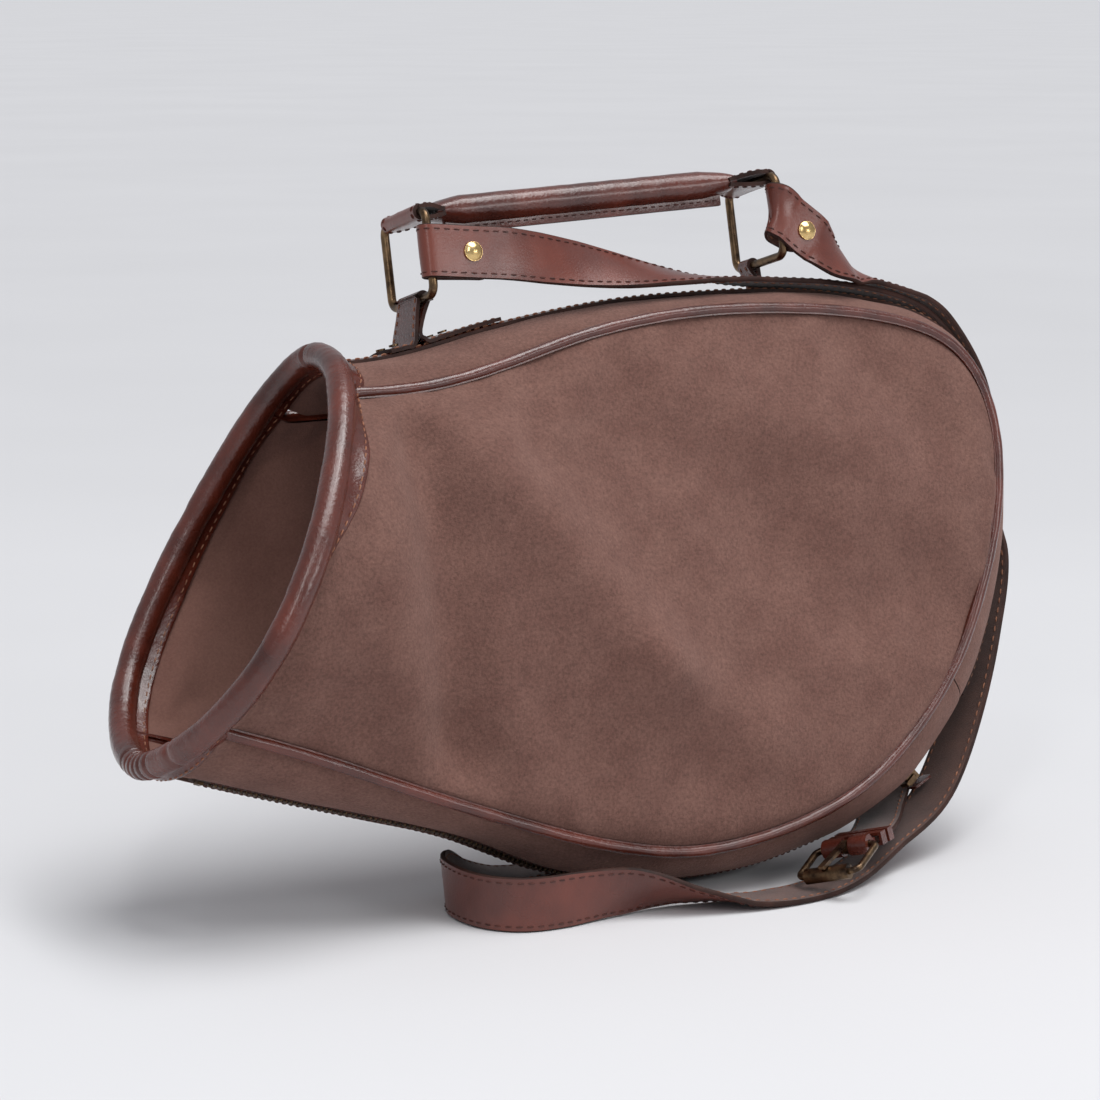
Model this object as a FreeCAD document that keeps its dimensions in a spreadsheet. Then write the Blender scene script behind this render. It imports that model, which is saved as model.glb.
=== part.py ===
import FreeCAD, Part
import os
from math import atan2, cos, degrees, pi, radians, sin

V = FreeCAD.Vector
Y_AXIS = V(0, 1, 0)

# An open-mouthed suede bag with leather trim, a carrying grip on two wire rings and an
# unbuckled shoulder strap.  Bag frame: x along the bag towards its round end, y across it
# (the front panel is at -y), z up.  The whole bag then leans back on its strap, and the
# part's own frame has the floor at z = 0.
DRIVING_SIZES = {
    "lean_angle": 14.0,
    "bag_lift": 0.7,
    "stand_shift_x": -46.6,
    "stand_shift_y": -29.2,
    "seam_half_depth": 36.5,
    "suede_thickness": 2.6,
    "seam_gap": 2.7,
    "piping_radius": 2.3,
    "rim_roll_radius": 6.2,
    "mouth_tilt": 30.0,
    "mouth_yaw": 5.0,
    "mouth_far_ratio": 0.72,
    "back_dome_ratio": 0.58,
    "trim_thickness": 1.6,
    "trim_width": 24.0,
    "strap_width": 24.0,
    "strap_thickness": 2.6,
    "ring_width": 44.0,
    "ring_height": 38.0,
    "ring_wire_radius": 2.0,
    "ring_corner_radius": 5.0,
    "ring_left_x": -29.0,
    "ring_left_z": 274.0,
    "ring_right_x": 155.0,
    "ring_right_z": 285.0,
    "pivot_clearance": 0.3,
    "loop_leather": 2.4,
    "grip_radius": 6.8,
    "grip_lift": 1.4,
    "grip_core_radius": 3.4,
    "grip_loop_width": 34.0,
    "tab_width": 26.0,
    "stud_head_radius": 4.4,
    "stud_shank_radius": 1.5,
    "buckle_wire_radius": 1.6,
    "buckle_width": 31.0,
    "buckle_length": 25.0,
    "buckle_corner_radius": 4.0,
    "roller_radius": 3.6,
    "roller_length": 22.0,
    "prong_width": 3.2,
    "zip_half_gap": 7.0,
    "tooth_row_width": 2.2,
    "slider_width": 9.0,
}

doc = FreeCAD.newDocument("open_mouth_bag")
sheet = doc.addObject("Spreadsheet::Sheet", "Sizes")
for row, (alias, number) in enumerate(DRIVING_SIZES.items(), start=1):
    sheet.set("A%d" % row, alias)
    sheet.set("B%d" % row, "%g" % number)
    sheet.setAlias("B%d" % row, alias)
doc.recompute()


def size(alias):
    return float(sheet.get(alias))


SUEDE = size("suede_thickness")
SEAM_Y = size("seam_half_depth")
STRAP_T = size("strap_thickness")
STRAP_W = size("strap_width")
CLEAR = size("pivot_clearance")
WIRE = size("ring_wire_radius")
LEATHER = size("loop_leather")
RING_W = size("ring_width")
RING_H = size("ring_height")

LEAN = FreeCAD.Rotation(V(1, 0, 0), -size("lean_angle"))
FLOOR = FreeCAD.Placement(V(size("stand_shift_x"), size("stand_shift_y"), 0), FreeCAD.Rotation())
BAG = FreeCAD.Placement(FLOOR.Base + V(0, 10, size("bag_lift")), LEAN)

PARTS = []


def keep(obj, name, placement=None):
    """Names a sub-part and puts it in the list of parts to write."""
    obj.Label = name
    if placement is not None:
        obj.Placement = placement
    PARTS.append(obj)
    return obj


def shaped(name, shape, placement=BAG):
    """A sub-part whose solid is made directly, because no primitive has its form."""
    obj = doc.addObject("Part::Feature", name)
    obj.Shape = shape
    return keep(obj, name, placement.multiply(shape.Placement))


def primitive(kind, name, place, **cells):
    """A Part primitive whose sizes are expressions of the sheet's cells."""
    obj = doc.addObject("Part::" + kind, name)
    for prop, expression in cells.items():
        obj.setExpression(prop, expression)
    obj.Placement = place
    return obj


def along(direction, base=V(0, 0, 0)):
    """The placement that turns a primitive's own z axis to a direction."""
    return FreeCAD.Placement(base, FreeCAD.Rotation(V(0, 0, 1), direction))


def fused(name, pieces, placement=None):
    obj = doc.addObject("Part::MultiFuse", name)
    obj.Shapes = pieces
    return keep(obj, name, placement)


def cut(name, base, tool, placement=None):
    obj = doc.addObject("Part::Cut", name)
    obj.Base = base
    obj.Tool = tool
    return keep(obj, name, placement)


def spline(points, parameters=None):
    curve = Part.BSplineCurve()
    if parameters:
        curve.interpolate(Points=points, Parameters=parameters)
    else:
        curve.interpolate(Points=points)
    return curve


# ---------------------------------------------------------------- the bag's seam line
# (x, z, bulge) at even steps round the panel from the top of the mouth, over the round
# end, to the bottom of the mouth.  The gusset stands out from the seam by the bulge.
SEAM = [(-85, 229.5, 17), (-54, 230, 18), (-25, 234, 19), (5, 241.5, 18), (35, 249.5, 15),
        (70, 255.5, 13), (107, 258, 12), (146, 257, 13), (180, 253.5, 14), (208, 247.5, 15),
        (229, 238, 17), (242.5, 223, 18), (249, 204, 19), (250, 183, 19), (246, 158, 20),
        (236.5, 131, 22.5), (221, 100, 24.5), (202, 74, 25), (179, 52, 24), (152, 34, 19),
        (121, 22.5, 16), (91, 16.5, 14), (60, 15, 12), (30, 19.5, 12), (0, 28, 12),
        (-35, 41, 9), (-75, 57, 12), (-118, 75, 17), (-162, 91, 19)]
SEAM_END = len(SEAM) - 1
seam_curve = spline([V(x, 0, z) for x, z, bulge in SEAM], [float(i) for i in range(len(SEAM))])
bulge_curve = spline([V(i, bulge, 0) for i, (x, z, bulge) in enumerate(SEAM)],
                     [float(i) for i in range(len(SEAM))])
CROWN_POWER = 2.6
ZIP_TOP = 16.6
ZIP_BOTTOM = 27.8


def seam_point(k):
    return seam_curve.value(k)


def outward(k):
    """Unit normal in the xz plane, away from the bag."""
    step = seam_curve.tangent(k)[0]
    return V(-step.z, 0, step.x).normalize()


def bulge_at(k, y):
    return bulge_curve.value(k).y * (1 - abs(y / SEAM_Y) ** CROWN_POWER)


def gusset_point(k, y, lift=0.0):
    """A point of the gusset's outer face, lifted along the seam's normal."""
    return seam_point(k) + outward(k) * (bulge_at(k, y) + lift) + Y_AXIS * y


def steps(first, last, count):
    return [first + (last - first) * i / (count - 1) for i in range(count)]


def band_section(k, y_from, y_to, top, bottom, count):
    """Closed wire across the gusset at k, between two lifts and two values of y."""
    outer = [gusset_point(k, y, top) for y in steps(y_from, y_to, count)]
    inner = [gusset_point(k, y, bottom) for y in steps(y_to, y_from, count)]
    return Part.Wire([spline(outer).toShape(), Part.makeLine(outer[-1], inner[0]),
                      spline(inner).toShape(), Part.makeLine(inner[-1], outer[0])])


def band(first, last, stations, y_from, y_to, top, bottom, count=7):
    sections = [band_section(k, y_from, y_to, top, bottom, count)
                for k in steps(first, last, stations)]
    return Part.makeLoft(sections, True, False)


def flat_band(first, last, y_from, y_to, top, bottom, count=40):
    """A strip of even lift that follows the gusset's crown, straight across."""
    outer = [gusset_point(k, 0, top) for k in steps(first, last, count)]
    inner = [gusset_point(k, 0, bottom) for k in steps(last, first, count)]
    wire = Part.Wire([spline(outer).toShape(), Part.makeLine(outer[-1], inner[0]),
                      spline(inner).toShape(), Part.makeLine(inner[-1], outer[0])])
    face = Part.Face(wire)
    face.translate(Y_AXIS * y_from)
    return face.extrude(Y_AXIS * (y_to - y_from))


# ---------------------------------------------------------------- mouth
MOUTH_CENTRE = V(-131.5, 0, 165)
tilt = radians(size("mouth_tilt"))
MOUTH_UP = V(sin(tilt), 0, cos(tilt))
MOUTH_AXIS = V(cos(tilt), 0, -sin(tilt))
# (height above the mouth's centre, half depth there) down one side of the opening
MOUTH_SIDE = [(100, 0), (93, 24), (80, 41), (60, 57), (34, 71), (5, 81), (-26, 84),
              (-52, 78), (-73, 62), (-89, 38), (-97, 15)]
MOUTH_BOTTOM = (-99, 0)


def mouth_point(height, y):
    yaw = radians(size("mouth_yaw"))
    return (MOUTH_CENTRE + MOUTH_UP * height + Y_AXIS * (y * cos(yaw))
            - MOUTH_AXIS * (y * sin(yaw)))


def mouth_rim():
    """The padded leather roll round the mouth: a tube on the mouth's oval."""
    near = [mouth_point(height, -y) for height, y in MOUTH_SIDE]
    ratio = size("mouth_far_ratio")
    far = [mouth_point(height, y * ratio) for height, y in reversed(MOUTH_SIDE[1:])]
    oval = Part.BSplineCurve()
    oval.interpolate(Points=near + [mouth_point(*MOUTH_BOTTOM)] + far, PeriodicFlag=True)
    start = oval.value(oval.FirstParameter)
    direction = oval.tangent(oval.FirstParameter)[0]
    ring = Part.Wire(Part.makeCircle(size("rim_roll_radius"), start, direction))
    return Part.Wire(oval.toShape()).makePipeShell([ring], True, False)


# ---------------------------------------------------------------- panels
# (seam index at the top, seam index at the bottom, dome) of each section of a panel
PANEL_STATIONS = [(0.15, 27.85, 41), (0.6, 27.45, 38), (1.2, 26.9, 33), (2.0, 26.2, 27),
                  (3.0, 25.3, 21), (4.0, 24.5, 17), (5.0, 23.6, 14), (6.0, 22.6, 12.5),
                  (7.0, 21.5, 11.5), (8.0, 20.4, 10.5), (9.0, 19.4, 9.5), (10.0, 18.4, 8.5),
                  (11.0, 17.5, 7), (12.0, 16.4, 5), (12.8, 15.4, 3), (13.3, 14.7, 1.5)]
DOME_POWER = 0.75


def panel_wire(top_k, bottom_k, dome, side):
    inset = size("seam_gap")
    top = seam_point(top_k) - outward(top_k) * inset
    bottom = seam_point(bottom_k) - outward(bottom_k) * inset
    outer = []
    for f in steps(0.0, 1.0, 9):
        y = SEAM_Y + dome * max(sin(pi * f), 0.0) ** DOME_POWER
        outer.append(top + (bottom - top) * f + Y_AXIS * (side * y))
    inner = [point - Y_AXIS * (side * SUEDE) for point in reversed(outer)]
    return Part.Wire([spline(outer).toShape(), Part.makeLine(outer[-1], inner[0]),
                      spline(inner).toShape(), Part.makeLine(inner[-1], outer[0])])


def panel(side):
    fullness = 1.0 if side < 0 else size("back_dome_ratio")
    wires = [panel_wire(t, b, dome * fullness, side) for t, b, dome in PANEL_STATIONS]
    return Part.makeLoft(wires, True, False)


def piping(side):
    """Leather piping that covers the seam between a panel and the gusset."""
    points = [seam_point(k) + Y_AXIS * (side * SEAM_Y) for k in steps(0.1, 27.9, 44)]
    path = spline(points)
    direction = path.tangent(path.FirstParameter)[0]
    ring = Part.Wire(Part.makeCircle(size("piping_radius"), points[0], direction))
    return Part.Wire(path.toShape()).makePipeShell([ring], True, False)


GUSSET_EDGE = SEAM_Y - size("seam_gap") - 0.4
ZIP_GAP = size("zip_half_gap")
TEETH_W = size("tooth_row_width")
TEETH_IN = 0.3
TAPE_T = 1.0
TAPE_DROP = 0.8

shaped("front_panel", panel(-1))
shaped("back_panel", panel(1))
shaped("gusset_top", band(0.4, ZIP_TOP, 26, -GUSSET_EDGE, GUSSET_EDGE, 0, -SUEDE, 13))
for label, side in (("front", -1), ("back", 1)):
    zip_run = (ZIP_TOP + 0.05, ZIP_BOTTOM, 20)
    edge = sorted((side * GUSSET_EDGE, side * (ZIP_GAP + 0.2)))
    shaped("gusset_zip_" + label, band(*zip_run, *edge, 0, -SUEDE))
    edge = sorted((side * ZIP_GAP, side * (TEETH_IN + TEETH_W + 0.1)))
    shaped("zip_tape_" + label, band(*zip_run, *edge, -TAPE_DROP, -TAPE_DROP - TAPE_T, 5))
    edge = sorted((side * TEETH_IN, side * (TEETH_IN + TEETH_W)))
    shaped("zip_teeth_" + label, flat_band(ZIP_TOP + 0.15, ZIP_BOTTOM - 0.1, *edge, 0.4, -2.0))
    shaped("piping_" + label, piping(side))
shaped("mouth_rim", mouth_rim())

# Leather strip sewn over the top of the gusset, from the mouth to the zip.
TRIM_HALF = size("trim_width") / 2
STRIP_BASE = 0.2
STRIP_TOP = STRIP_BASE + size("trim_thickness")
shaped("gusset_strip", flat_band(0.4, ZIP_TOP - 0.1, -TRIM_HALF, TRIM_HALF, STRIP_TOP, STRIP_BASE))


# ---------------------------------------------------------------- wire rings
def wire_loop(name, placement, width, height, corner, wire):
    """A closed wire rectangle in its own yz plane, with the lower bar's middle at 0."""
    w = size(width) / 2
    tall = size(height)
    r = size(corner)
    side_len = "Sizes.%s - 2 * Sizes.%s" % (height, corner)
    bar_len = "Sizes.%s - 2 * Sizes.%s" % (width, corner)
    pieces = []
    for tag, z in (("lower", 0.0), ("upper", tall)):
        at = along(Y_AXIS, V(0, r - w, z))
        pieces.append(primitive("Cylinder", "%s_%s_bar" % (name, tag), at,
                                Radius="Sizes." + wire, Height=bar_len))
    for tag, y in (("near", -w), ("far", w)):
        at = FreeCAD.Placement(V(0, y, r), FreeCAD.Rotation())
        pieces.append(primitive("Cylinder", "%s_%s_side" % (name, tag), at,
                                Radius="Sizes." + wire, Height=side_len))
    corners = [(w - r, tall - r, 0), (r - w, tall - r, 90), (r - w, r, 180), (w - r, r, 270)]
    for i, (y, z, turn) in enumerate(corners):
        turn_in_plane = FreeCAD.Rotation(V(1, 0, 0), turn)
        stand = FreeCAD.Rotation(V(0, 1, 0), V(0, 0, 1), V(1, 0, 0), "XYZ")
        bend = primitive("Torus", "%s_corner_%d" % (name, i),
                         FreeCAD.Placement(V(0, y, z), turn_in_plane.multiply(stand)),
                         Radius1="Sizes." + corner, Radius2="Sizes." + wire)
        bend.Angle3 = 90
        pieces.append(bend)
    return fused(name, pieces, placement)


RING_ARGS = ("ring_width", "ring_height", "ring_corner_radius", "ring_wire_radius")
LEFT = V(size("ring_left_x"), 0, size("ring_left_z"))
RIGHT = V(size("ring_right_x"), 0, size("ring_right_z"))
wire_loop("ring_left", BAG.multiply(FreeCAD.Placement(LEFT, FreeCAD.Rotation())), *RING_ARGS)
wire_loop("ring_right", BAG.multiply(FreeCAD.Placement(RIGHT, FreeCAD.Rotation())), *RING_ARGS)

# ---------------------------------------------------------------- grip
LOOP_IN = WIRE + CLEAR
LOOP_OUT = LOOP_IN + LEATHER
UP = V(0, 0, 1)
LEFT_TOP = LEFT + UP * RING_H
RIGHT_TOP = RIGHT + UP * RING_H
GRIP_DIR = (RIGHT_TOP - LEFT_TOP).normalize()
GRIP_UP = V(-GRIP_DIR.z, 0, GRIP_DIR.x)
GRIP_SPAN = (RIGHT_TOP - LEFT_TOP).Length
TUBE_START = 14.0
TUBE_LEN = GRIP_SPAN - 2 * TUBE_START


def tube(start, direction, length, outer, inner):
    return Part.makeCylinder(outer, length, start, direction).cut(
        Part.makeCylinder(inner, length, start, direction))


def grip_loop(bar_centre, towards):
    """A leather eye round a ring's upper bar, with a neck to the grip's end."""
    width = size("grip_loop_width")
    start = bar_centre - Y_AXIS * (width / 2)
    eye = Part.makeCylinder(LOOP_OUT, width, start, Y_AXIS)
    neck = Part.makeBox(TUBE_START - 0.3, 16, LEATHER * 1.6)
    neck.translate(V(0, -8, -LEATHER * 0.8))
    turn = FreeCAD.Rotation(V(1, 0, 0), towards)
    neck.Placement = FreeCAD.Placement(bar_centre, turn).multiply(neck.Placement)
    return eye.fuse(neck).cut(Part.makeCylinder(LOOP_IN, width, start, Y_AXIS)).removeSplitter()


grip_start = LEFT_TOP + GRIP_DIR * TUBE_START + GRIP_UP * size("grip_lift")
GRIP_R = size("grip_radius")
CORE_R = size("grip_core_radius")
core_start = grip_start + GRIP_DIR
shaped("grip_core", Part.makeCylinder(CORE_R, TUBE_LEN - 2, core_start, GRIP_DIR))
shaped("grip_cover", tube(grip_start, GRIP_DIR, TUBE_LEN, GRIP_R, CORE_R + 0.05))
WELT_DROP = 3.5
WELT_T = 3.0
welt = Part.makeBox(TUBE_LEN - 8, WELT_T, WELT_DROP)
welt.translate(V(4, -WELT_T / 2, -GRIP_R - WELT_DROP - 0.1))
grip_turn = FreeCAD.Placement(grip_start, FreeCAD.Rotation(V(1, 0, 0), GRIP_DIR))
welt.Placement = grip_turn.multiply(welt.Placement)
shaped("grip_welt", welt)
shaped("grip_loop_left", grip_loop(LEFT_TOP, GRIP_DIR))
shaped("grip_loop_right", grip_loop(RIGHT_TOP, GRIP_DIR * -1))


# ---------------------------------------------------------------- base tabs
def base_tab(bar, k, y_mid, width, patch_from, patch_to):
    """A leather eye round a ring's lower bar, its web, and the patch sewn on the strip."""
    start = bar + Y_AXIS * (y_mid - width / 2)
    foot = gusset_point(k, 0, STRIP_TOP + 0.2).z + 1.0
    web = Part.makeBox(LEATHER * 2, width, bar.z - foot)
    web.translate(V(bar.x - LEATHER, y_mid - width / 2, foot))
    eye = Part.makeCylinder(LOOP_OUT, width, start, Y_AXIS)
    patch = flat_band(patch_from, patch_to, y_mid - width / 2, y_mid + width / 2,
                      STRIP_TOP + 0.2 + size("trim_thickness"), STRIP_TOP + 0.2, 12)
    solid = web.fuse([eye, patch])
    return solid.cut(Part.makeCylinder(LOOP_IN, width, start, Y_AXIS))


TAB_W = size("tab_width")
RIGHT_TAB_W = 10.0
RIGHT_TAB_Y = 11.0
shaped("base_tab_left", base_tab(LEFT, 1.85, 0, TAB_W, 1.25, 3.3))
shaped("base_tab_right", base_tab(RIGHT, 7.25, RIGHT_TAB_Y, RIGHT_TAB_W, 6.9, 7.65))


# ---------------------------------------------------------------- straps
def strap(stations, width=STRAP_W, thickness=STRAP_T):
    """A flat strap through stations of (centre, direction of its width).

    Its first end is cut square to x, to meet a strap head."""
    last = len(stations) - 1
    path = spline([centre for centre, across in stations], [float(i) for i in range(last + 1)])
    turns = [V(across).normalize() for centre, across in stations]
    sections = []
    for t in steps(0.0, float(last), 3 * last + 1):
        i = min(int(t + 1e-6), last - 1)
        across = turns[i] + (turns[i + 1] - turns[i]) * (t - i)
        centre = path.value(t)
        forward = path.tangent(t)[0] if sections else V(1, 0, 0)
        side = (across - forward * across.dot(forward)).normalize() * (width / 2)
        face = forward.cross(side).normalize() * (thickness / 2)
        ring = [centre + side + face, centre - side + face, centre - side - face,
                centre + side - face]
        sections.append(Part.makePolygon(ring + ring[:1]))
    return Part.makeLoft(sections, True, True)


def lay(k, y, lift, roll):
    """A strap station on the gusset: the width turns by roll towards the bag."""
    across = Y_AXIS * cos(radians(roll)) - outward(k) * sin(radians(roll))
    return (gusset_point(k, y, lift), across)


LAY_LOW = STRIP_TOP + 0.4 + STRAP_T / 2
LAY_HIGH = LAY_LOW + STRAP_T + 0.6
NEAR_BAR = -RING_W / 2
HEAD_Y = NEAR_BAR - LOOP_IN - STRAP_T / 2
HEAD_END_LEFT = 37.0
HEAD_END_RIGHT = 16.0
SLOPE_LEFT = 0.08
SLOPE_RIGHT = 0.85


def strap_head(bar, end_x, lap_end_x, slope, stud_x):
    """The end of a strap, folded round a ring's near side bar and lapped on itself.

    It runs down by the slope from the bar, and has a hole for its stud."""
    z = bar.z + RING_H / 2
    tall = 4 * STRAP_W
    base = z - tall / 2
    ring_out = LOOP_IN + STRAP_T
    outer = Part.makeBox(end_x, STRAP_T, tall, V(bar.x, NEAR_BAR - ring_out, base))
    lap_y = NEAR_BAR - LOOP_IN + 0.1
    corners = [(0, NEAR_BAR + LOOP_IN), (0, NEAR_BAR + ring_out), (0.5 * lap_end_x, lap_y + STRAP_T),
               (lap_end_x, lap_y + STRAP_T), (lap_end_x - 3, lap_y), (0.45 * lap_end_x, lap_y)]
    ring = [V(bar.x + x, y, base) for x, y in corners]
    lap = Part.Face(Part.makePolygon(ring + ring[:1])).extrude(UP * tall)
    centre = V(bar.x, NEAR_BAR, base)
    bend = Part.makeCylinder(ring_out, tall, centre)
    bend = bend.cut(Part.makeBox(ring_out, 2 * ring_out, tall, centre - Y_AXIS * ring_out))
    sleeve = bend.fuse([outer, lap]).cut(Part.makeCylinder(LOOP_IN, tall, centre))
    start = -2 * ring_out
    outline = []
    for x, rise in ((start, 0.5), (end_x, 0.5), (end_x, -0.5), (start, -0.5)):
        outline.append(V(bar.x + x, NEAR_BAR - 20, z + rise * STRAP_W - slope * x))
    window = Part.Face(Part.makePolygon(outline + outline[:1])).extrude(Y_AXIS * 40)
    stud_at = V(bar.x + stud_x, NEAR_BAR - 20, z - slope * stud_x)
    hole = Part.makeCylinder(size("stud_shank_radius") + 0.2, 40, stud_at, Y_AXIS)
    return sleeve.common(window).cut(hole).removeSplitter()


def stud(name, bar, x, slope):
    """A button stud: a shank through the strap's outer layer, a collar and a domed head."""
    face = V(bar.x + x, HEAD_Y - STRAP_T / 2, bar.z + RING_H / 2 - slope * x)
    collar_t = 0.8
    shank = primitive("Cylinder", name + "_shank", along(Y_AXIS * -1, face + Y_AXIS * STRAP_T),
                      Radius="Sizes.stud_shank_radius", Height="Sizes.strap_thickness + 0.5")
    collar = primitive("Cylinder", name + "_collar", along(Y_AXIS * -1, face - Y_AXIS * 0.1),
                       Radius="Sizes.stud_head_radius")
    collar.Height = collar_t
    dome_r = size("stud_head_radius") / cos(radians(45))
    dome = primitive("Sphere", name + "_dome",
                     along(Y_AXIS * -1, face - Y_AXIS * (collar_t - dome_r * sin(radians(45)))),
                     Radius="Sizes.stud_head_radius / cos(45)")
    dome.Angle1 = 45
    return fused(name, [shank, collar, dome], BAG)


STUD_LEFT_X = 19.0
STUD_RIGHT_X = 10.5
shaped("buckle_strap_head", strap_head(LEFT, HEAD_END_LEFT, 33.0, SLOPE_LEFT, STUD_LEFT_X))
shaped("long_strap_head", strap_head(RIGHT, HEAD_END_RIGHT, 15.0, SLOPE_RIGHT, STUD_RIGHT_X))
stud("stud_left", LEFT, STUD_LEFT_X, SLOPE_LEFT)
stud("stud_right", RIGHT, STUD_RIGHT_X, SLOPE_RIGHT)

into_floor = BAG.inverse().multiply(FLOOR)


def on_floor(centre, across):
    """A strap station given in the floor's frame."""
    return (into_floor.multVec(centre), into_floor.Rotation.multVec(across))


def head_end(bar, end_x, slope):
    """Where a strap goes on from its head."""
    return (V(bar.x + end_x + 0.2, HEAD_Y, bar.z + RING_H / 2 - slope * end_x), UP)


# The half with the buckle: from the left ring along the gusset to below the round end.
HEEL, bar_dir = on_floor(V(138.5, -29, 18.4), V(-0.62, 1, -0.3))
BAR_ACROSS = bar_dir.normalize()
BUCKLE_FORWARD = into_floor.Rotation.multVec(V(-22, -11, -8.5))
TAIL_FORWARD = into_floor.Rotation.multVec(V(20, 15.5, 0.6))
TAIL_DIR = (TAIL_FORWARD - BAR_ACROSS * TAIL_FORWARD.dot(BAR_ACROSS)).normalize()
buckle_run = [head_end(LEFT, HEAD_END_LEFT, SLOPE_LEFT),
              (V(25, -24.3, 287.7), V(0, 0.12, 1)), (V(46, -22, 284.6), V(0, 0.35, 0.94)),
              (V(68, -19, 281.6), V(0, 0.62, 0.78)), (V(90, -16.5, 279.2), V(0, 0.85, 0.53)),
              (V(113, -14, 276.9), V(0, 1, 0.25)), (V(134, -11.5, 275.4), V(0, 1, 0.1))]
buckle_run += [lay(k, y, LAY_LOW + rise, roll) for k, y, rise, roll in
               ((7.3, -9.5, 0.9, -3), (8.0, -9, 0.9, -3), (9.0, -4, 0.7, 0), (10.0, 3, 0.9, 3),
                (11.0, 9, 1.2, 6), (12.0, 13, 1.5, 12), (13.0, 15, 1.9, 17), (14.0, 17, 2.0, 20),
                (15.0, 18, 1.9, 22), (16.0, 18.7, 2.0, 22), (17.0, 20, 2.1, 22))]
buckle_run += [on_floor(V(210.5, 41.5, 36.0), V(-0.2, 1, 0)), on_floor(V(199.5, 32.5, 26.6), V(-0.3, 1, 0)),
               on_floor(V(183, 12.5, 19.9), V(-0.4, 1, -0.27)),
               on_floor(V(168.5, -5, 18.8), V(-0.5, 1, -0.33))]
buckle_run += [(HEEL + TAIL_DIR * back, BAR_ACROSS) for back in (22, 15, 8.2)]
shaped("buckle_strap", strap(buckle_run))

# The long half: from the right ring over the other half, off the round end to the floor,
# along the floor, round a standing turn, and back under the bag as a flat tail.
long_run = [head_end(RIGHT, HEAD_END_RIGHT, SLOPE_RIGHT),
            (V(180, -24.2, 283.5), V(0.3, 0.4, 1)), (V(190, -19.5, 280.0), V(0.3, 1, 0.9)),
            (V(203, -10, 275.3), V(0.15, 1, 0.3))]
long_run += [lay(k, y, LAY_HIGH + rise, roll) for k, y, rise, roll in
             ((9.7, -2, 2.2, 0), (10.4, 3, 1.8, 3), (11.2, 8, 1.6, 6), (12.0, 12.5, 1.9, 12),
              (13.0, 15, 2.6, 17), (13.8, 17, 2.9, 19))]
TAIL_X = 62.0
TAIL_Y = 60.0
TAIL_LEN = 44.0
FOOT_Z = STRAP_T / 2
LONG_FLOOR = [(V(274, 57.5, 136), V(-0.1, 1, 0)), (V(270, 50.5, 119), V(-0.1, 1, 0)),
              (V(261.5, 43, 100), V(-0.1, 1, 0)), (V(249.5, 34, 76), V(-0.15, 1, 0)),
              (V(232, 23.5, 48.4), V(-0.25, 1, 0)), (V(206.5, 8.5, 24.0), V(-0.35, 1, -0.1)),
              (V(175, -5, 11.4), V(-0.4, 1, -0.15)), (V(146, -20.5, 4.0), V(-0.3, 1, -0.05)),
              (V(119, -33, 1.7), V(-0.1, 1, 0)), (V(98, -37.5, 1.8), V(0.1, 1, 0)),
              (V(78, -38, 3.1), V(0.15, 1, 0.08)), (V(50, -34, 8.0), V(0.1, 1, 0.55)),
              (V(22, -31, 12.2), V(0, 0.35, 1)), (V(-8, -33.5, 12.4), UP),
              (V(-30, -32, 12.4), UP), (V(-43, -18, 12.4), UP),
              (V(-46, 2, 12.4), UP), (V(-42, 20, 12.2), V(0, 0.25, 1)),
              (V(-31, 33.5, 11.2), V(0.3, 0.8, 1)), (V(-15, 43, 6.8), V(0.15, 1, 0.4)),
              (V(4, 50, 3.4), V(0.05, 1, 0.1)), (V(24, 55, 2.2), Y_AXIS),
              (V(44, 58.4, 1.9), Y_AXIS), (V(55, 59.5, 1.5), Y_AXIS),
              (V(TAIL_X, TAIL_Y, FOOT_Z), Y_AXIS)]
long_run += [on_floor(centre, across) for centre, across in LONG_FLOOR]
tail = Part.makeBox(TAIL_LEN, STRAP_W, STRAP_T, V(TAIL_X, TAIL_Y - STRAP_W / 2, 0))
tail.Placement = into_floor
shaped("long_strap", strap(long_run).fuse(tail))


# ---------------------------------------------------------------- roller buckle
# Its own frame: x from the heel bar to the roller, y along the bars, z away from the bag.
def at_heel(forward):
    """A placement at the heel bar that points forward, square to the bar."""
    square = (forward - BAR_ACROSS * forward.dot(BAR_ACROSS)).normalize()
    across = BAR_ACROSS * (1 if square.cross(BAR_ACROSS).z > 0 else -1)
    turn = FreeCAD.Rotation(square, across, square.cross(across), "XYZ")
    return BAG.multiply(FreeCAD.Placement(HEEL, turn))


BUCKLE = at_heel(BUCKLE_FORWARD)
CHAPE = at_heel(TAIL_DIR * -1)
lay_down = FreeCAD.Placement(V(0, 0, 0), FreeCAD.Rotation(V(0, 1, 0), 90))
wire_loop("buckle_frame", BUCKLE.multiply(lay_down), "buckle_width", "buckle_length",
          "buckle_corner_radius", "buckle_wire_radius")

PIN = size("buckle_wire_radius")
roller_at = V(size("buckle_length"), -size("roller_length") / 2, 0)
roller_outer = primitive("Cylinder", "roller_outer", along(Y_AXIS, roller_at),
                         Radius="Sizes.roller_radius", Height="Sizes.roller_length")
roller_bore = primitive("Cylinder", "roller_bore", along(Y_AXIS, roller_at - Y_AXIS),
                        Radius="Sizes.buckle_wire_radius + 0.1", Height="Sizes.roller_length + 2")
cut("buckle_roller", roller_outer, roller_bore, BUCKLE)


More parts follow.
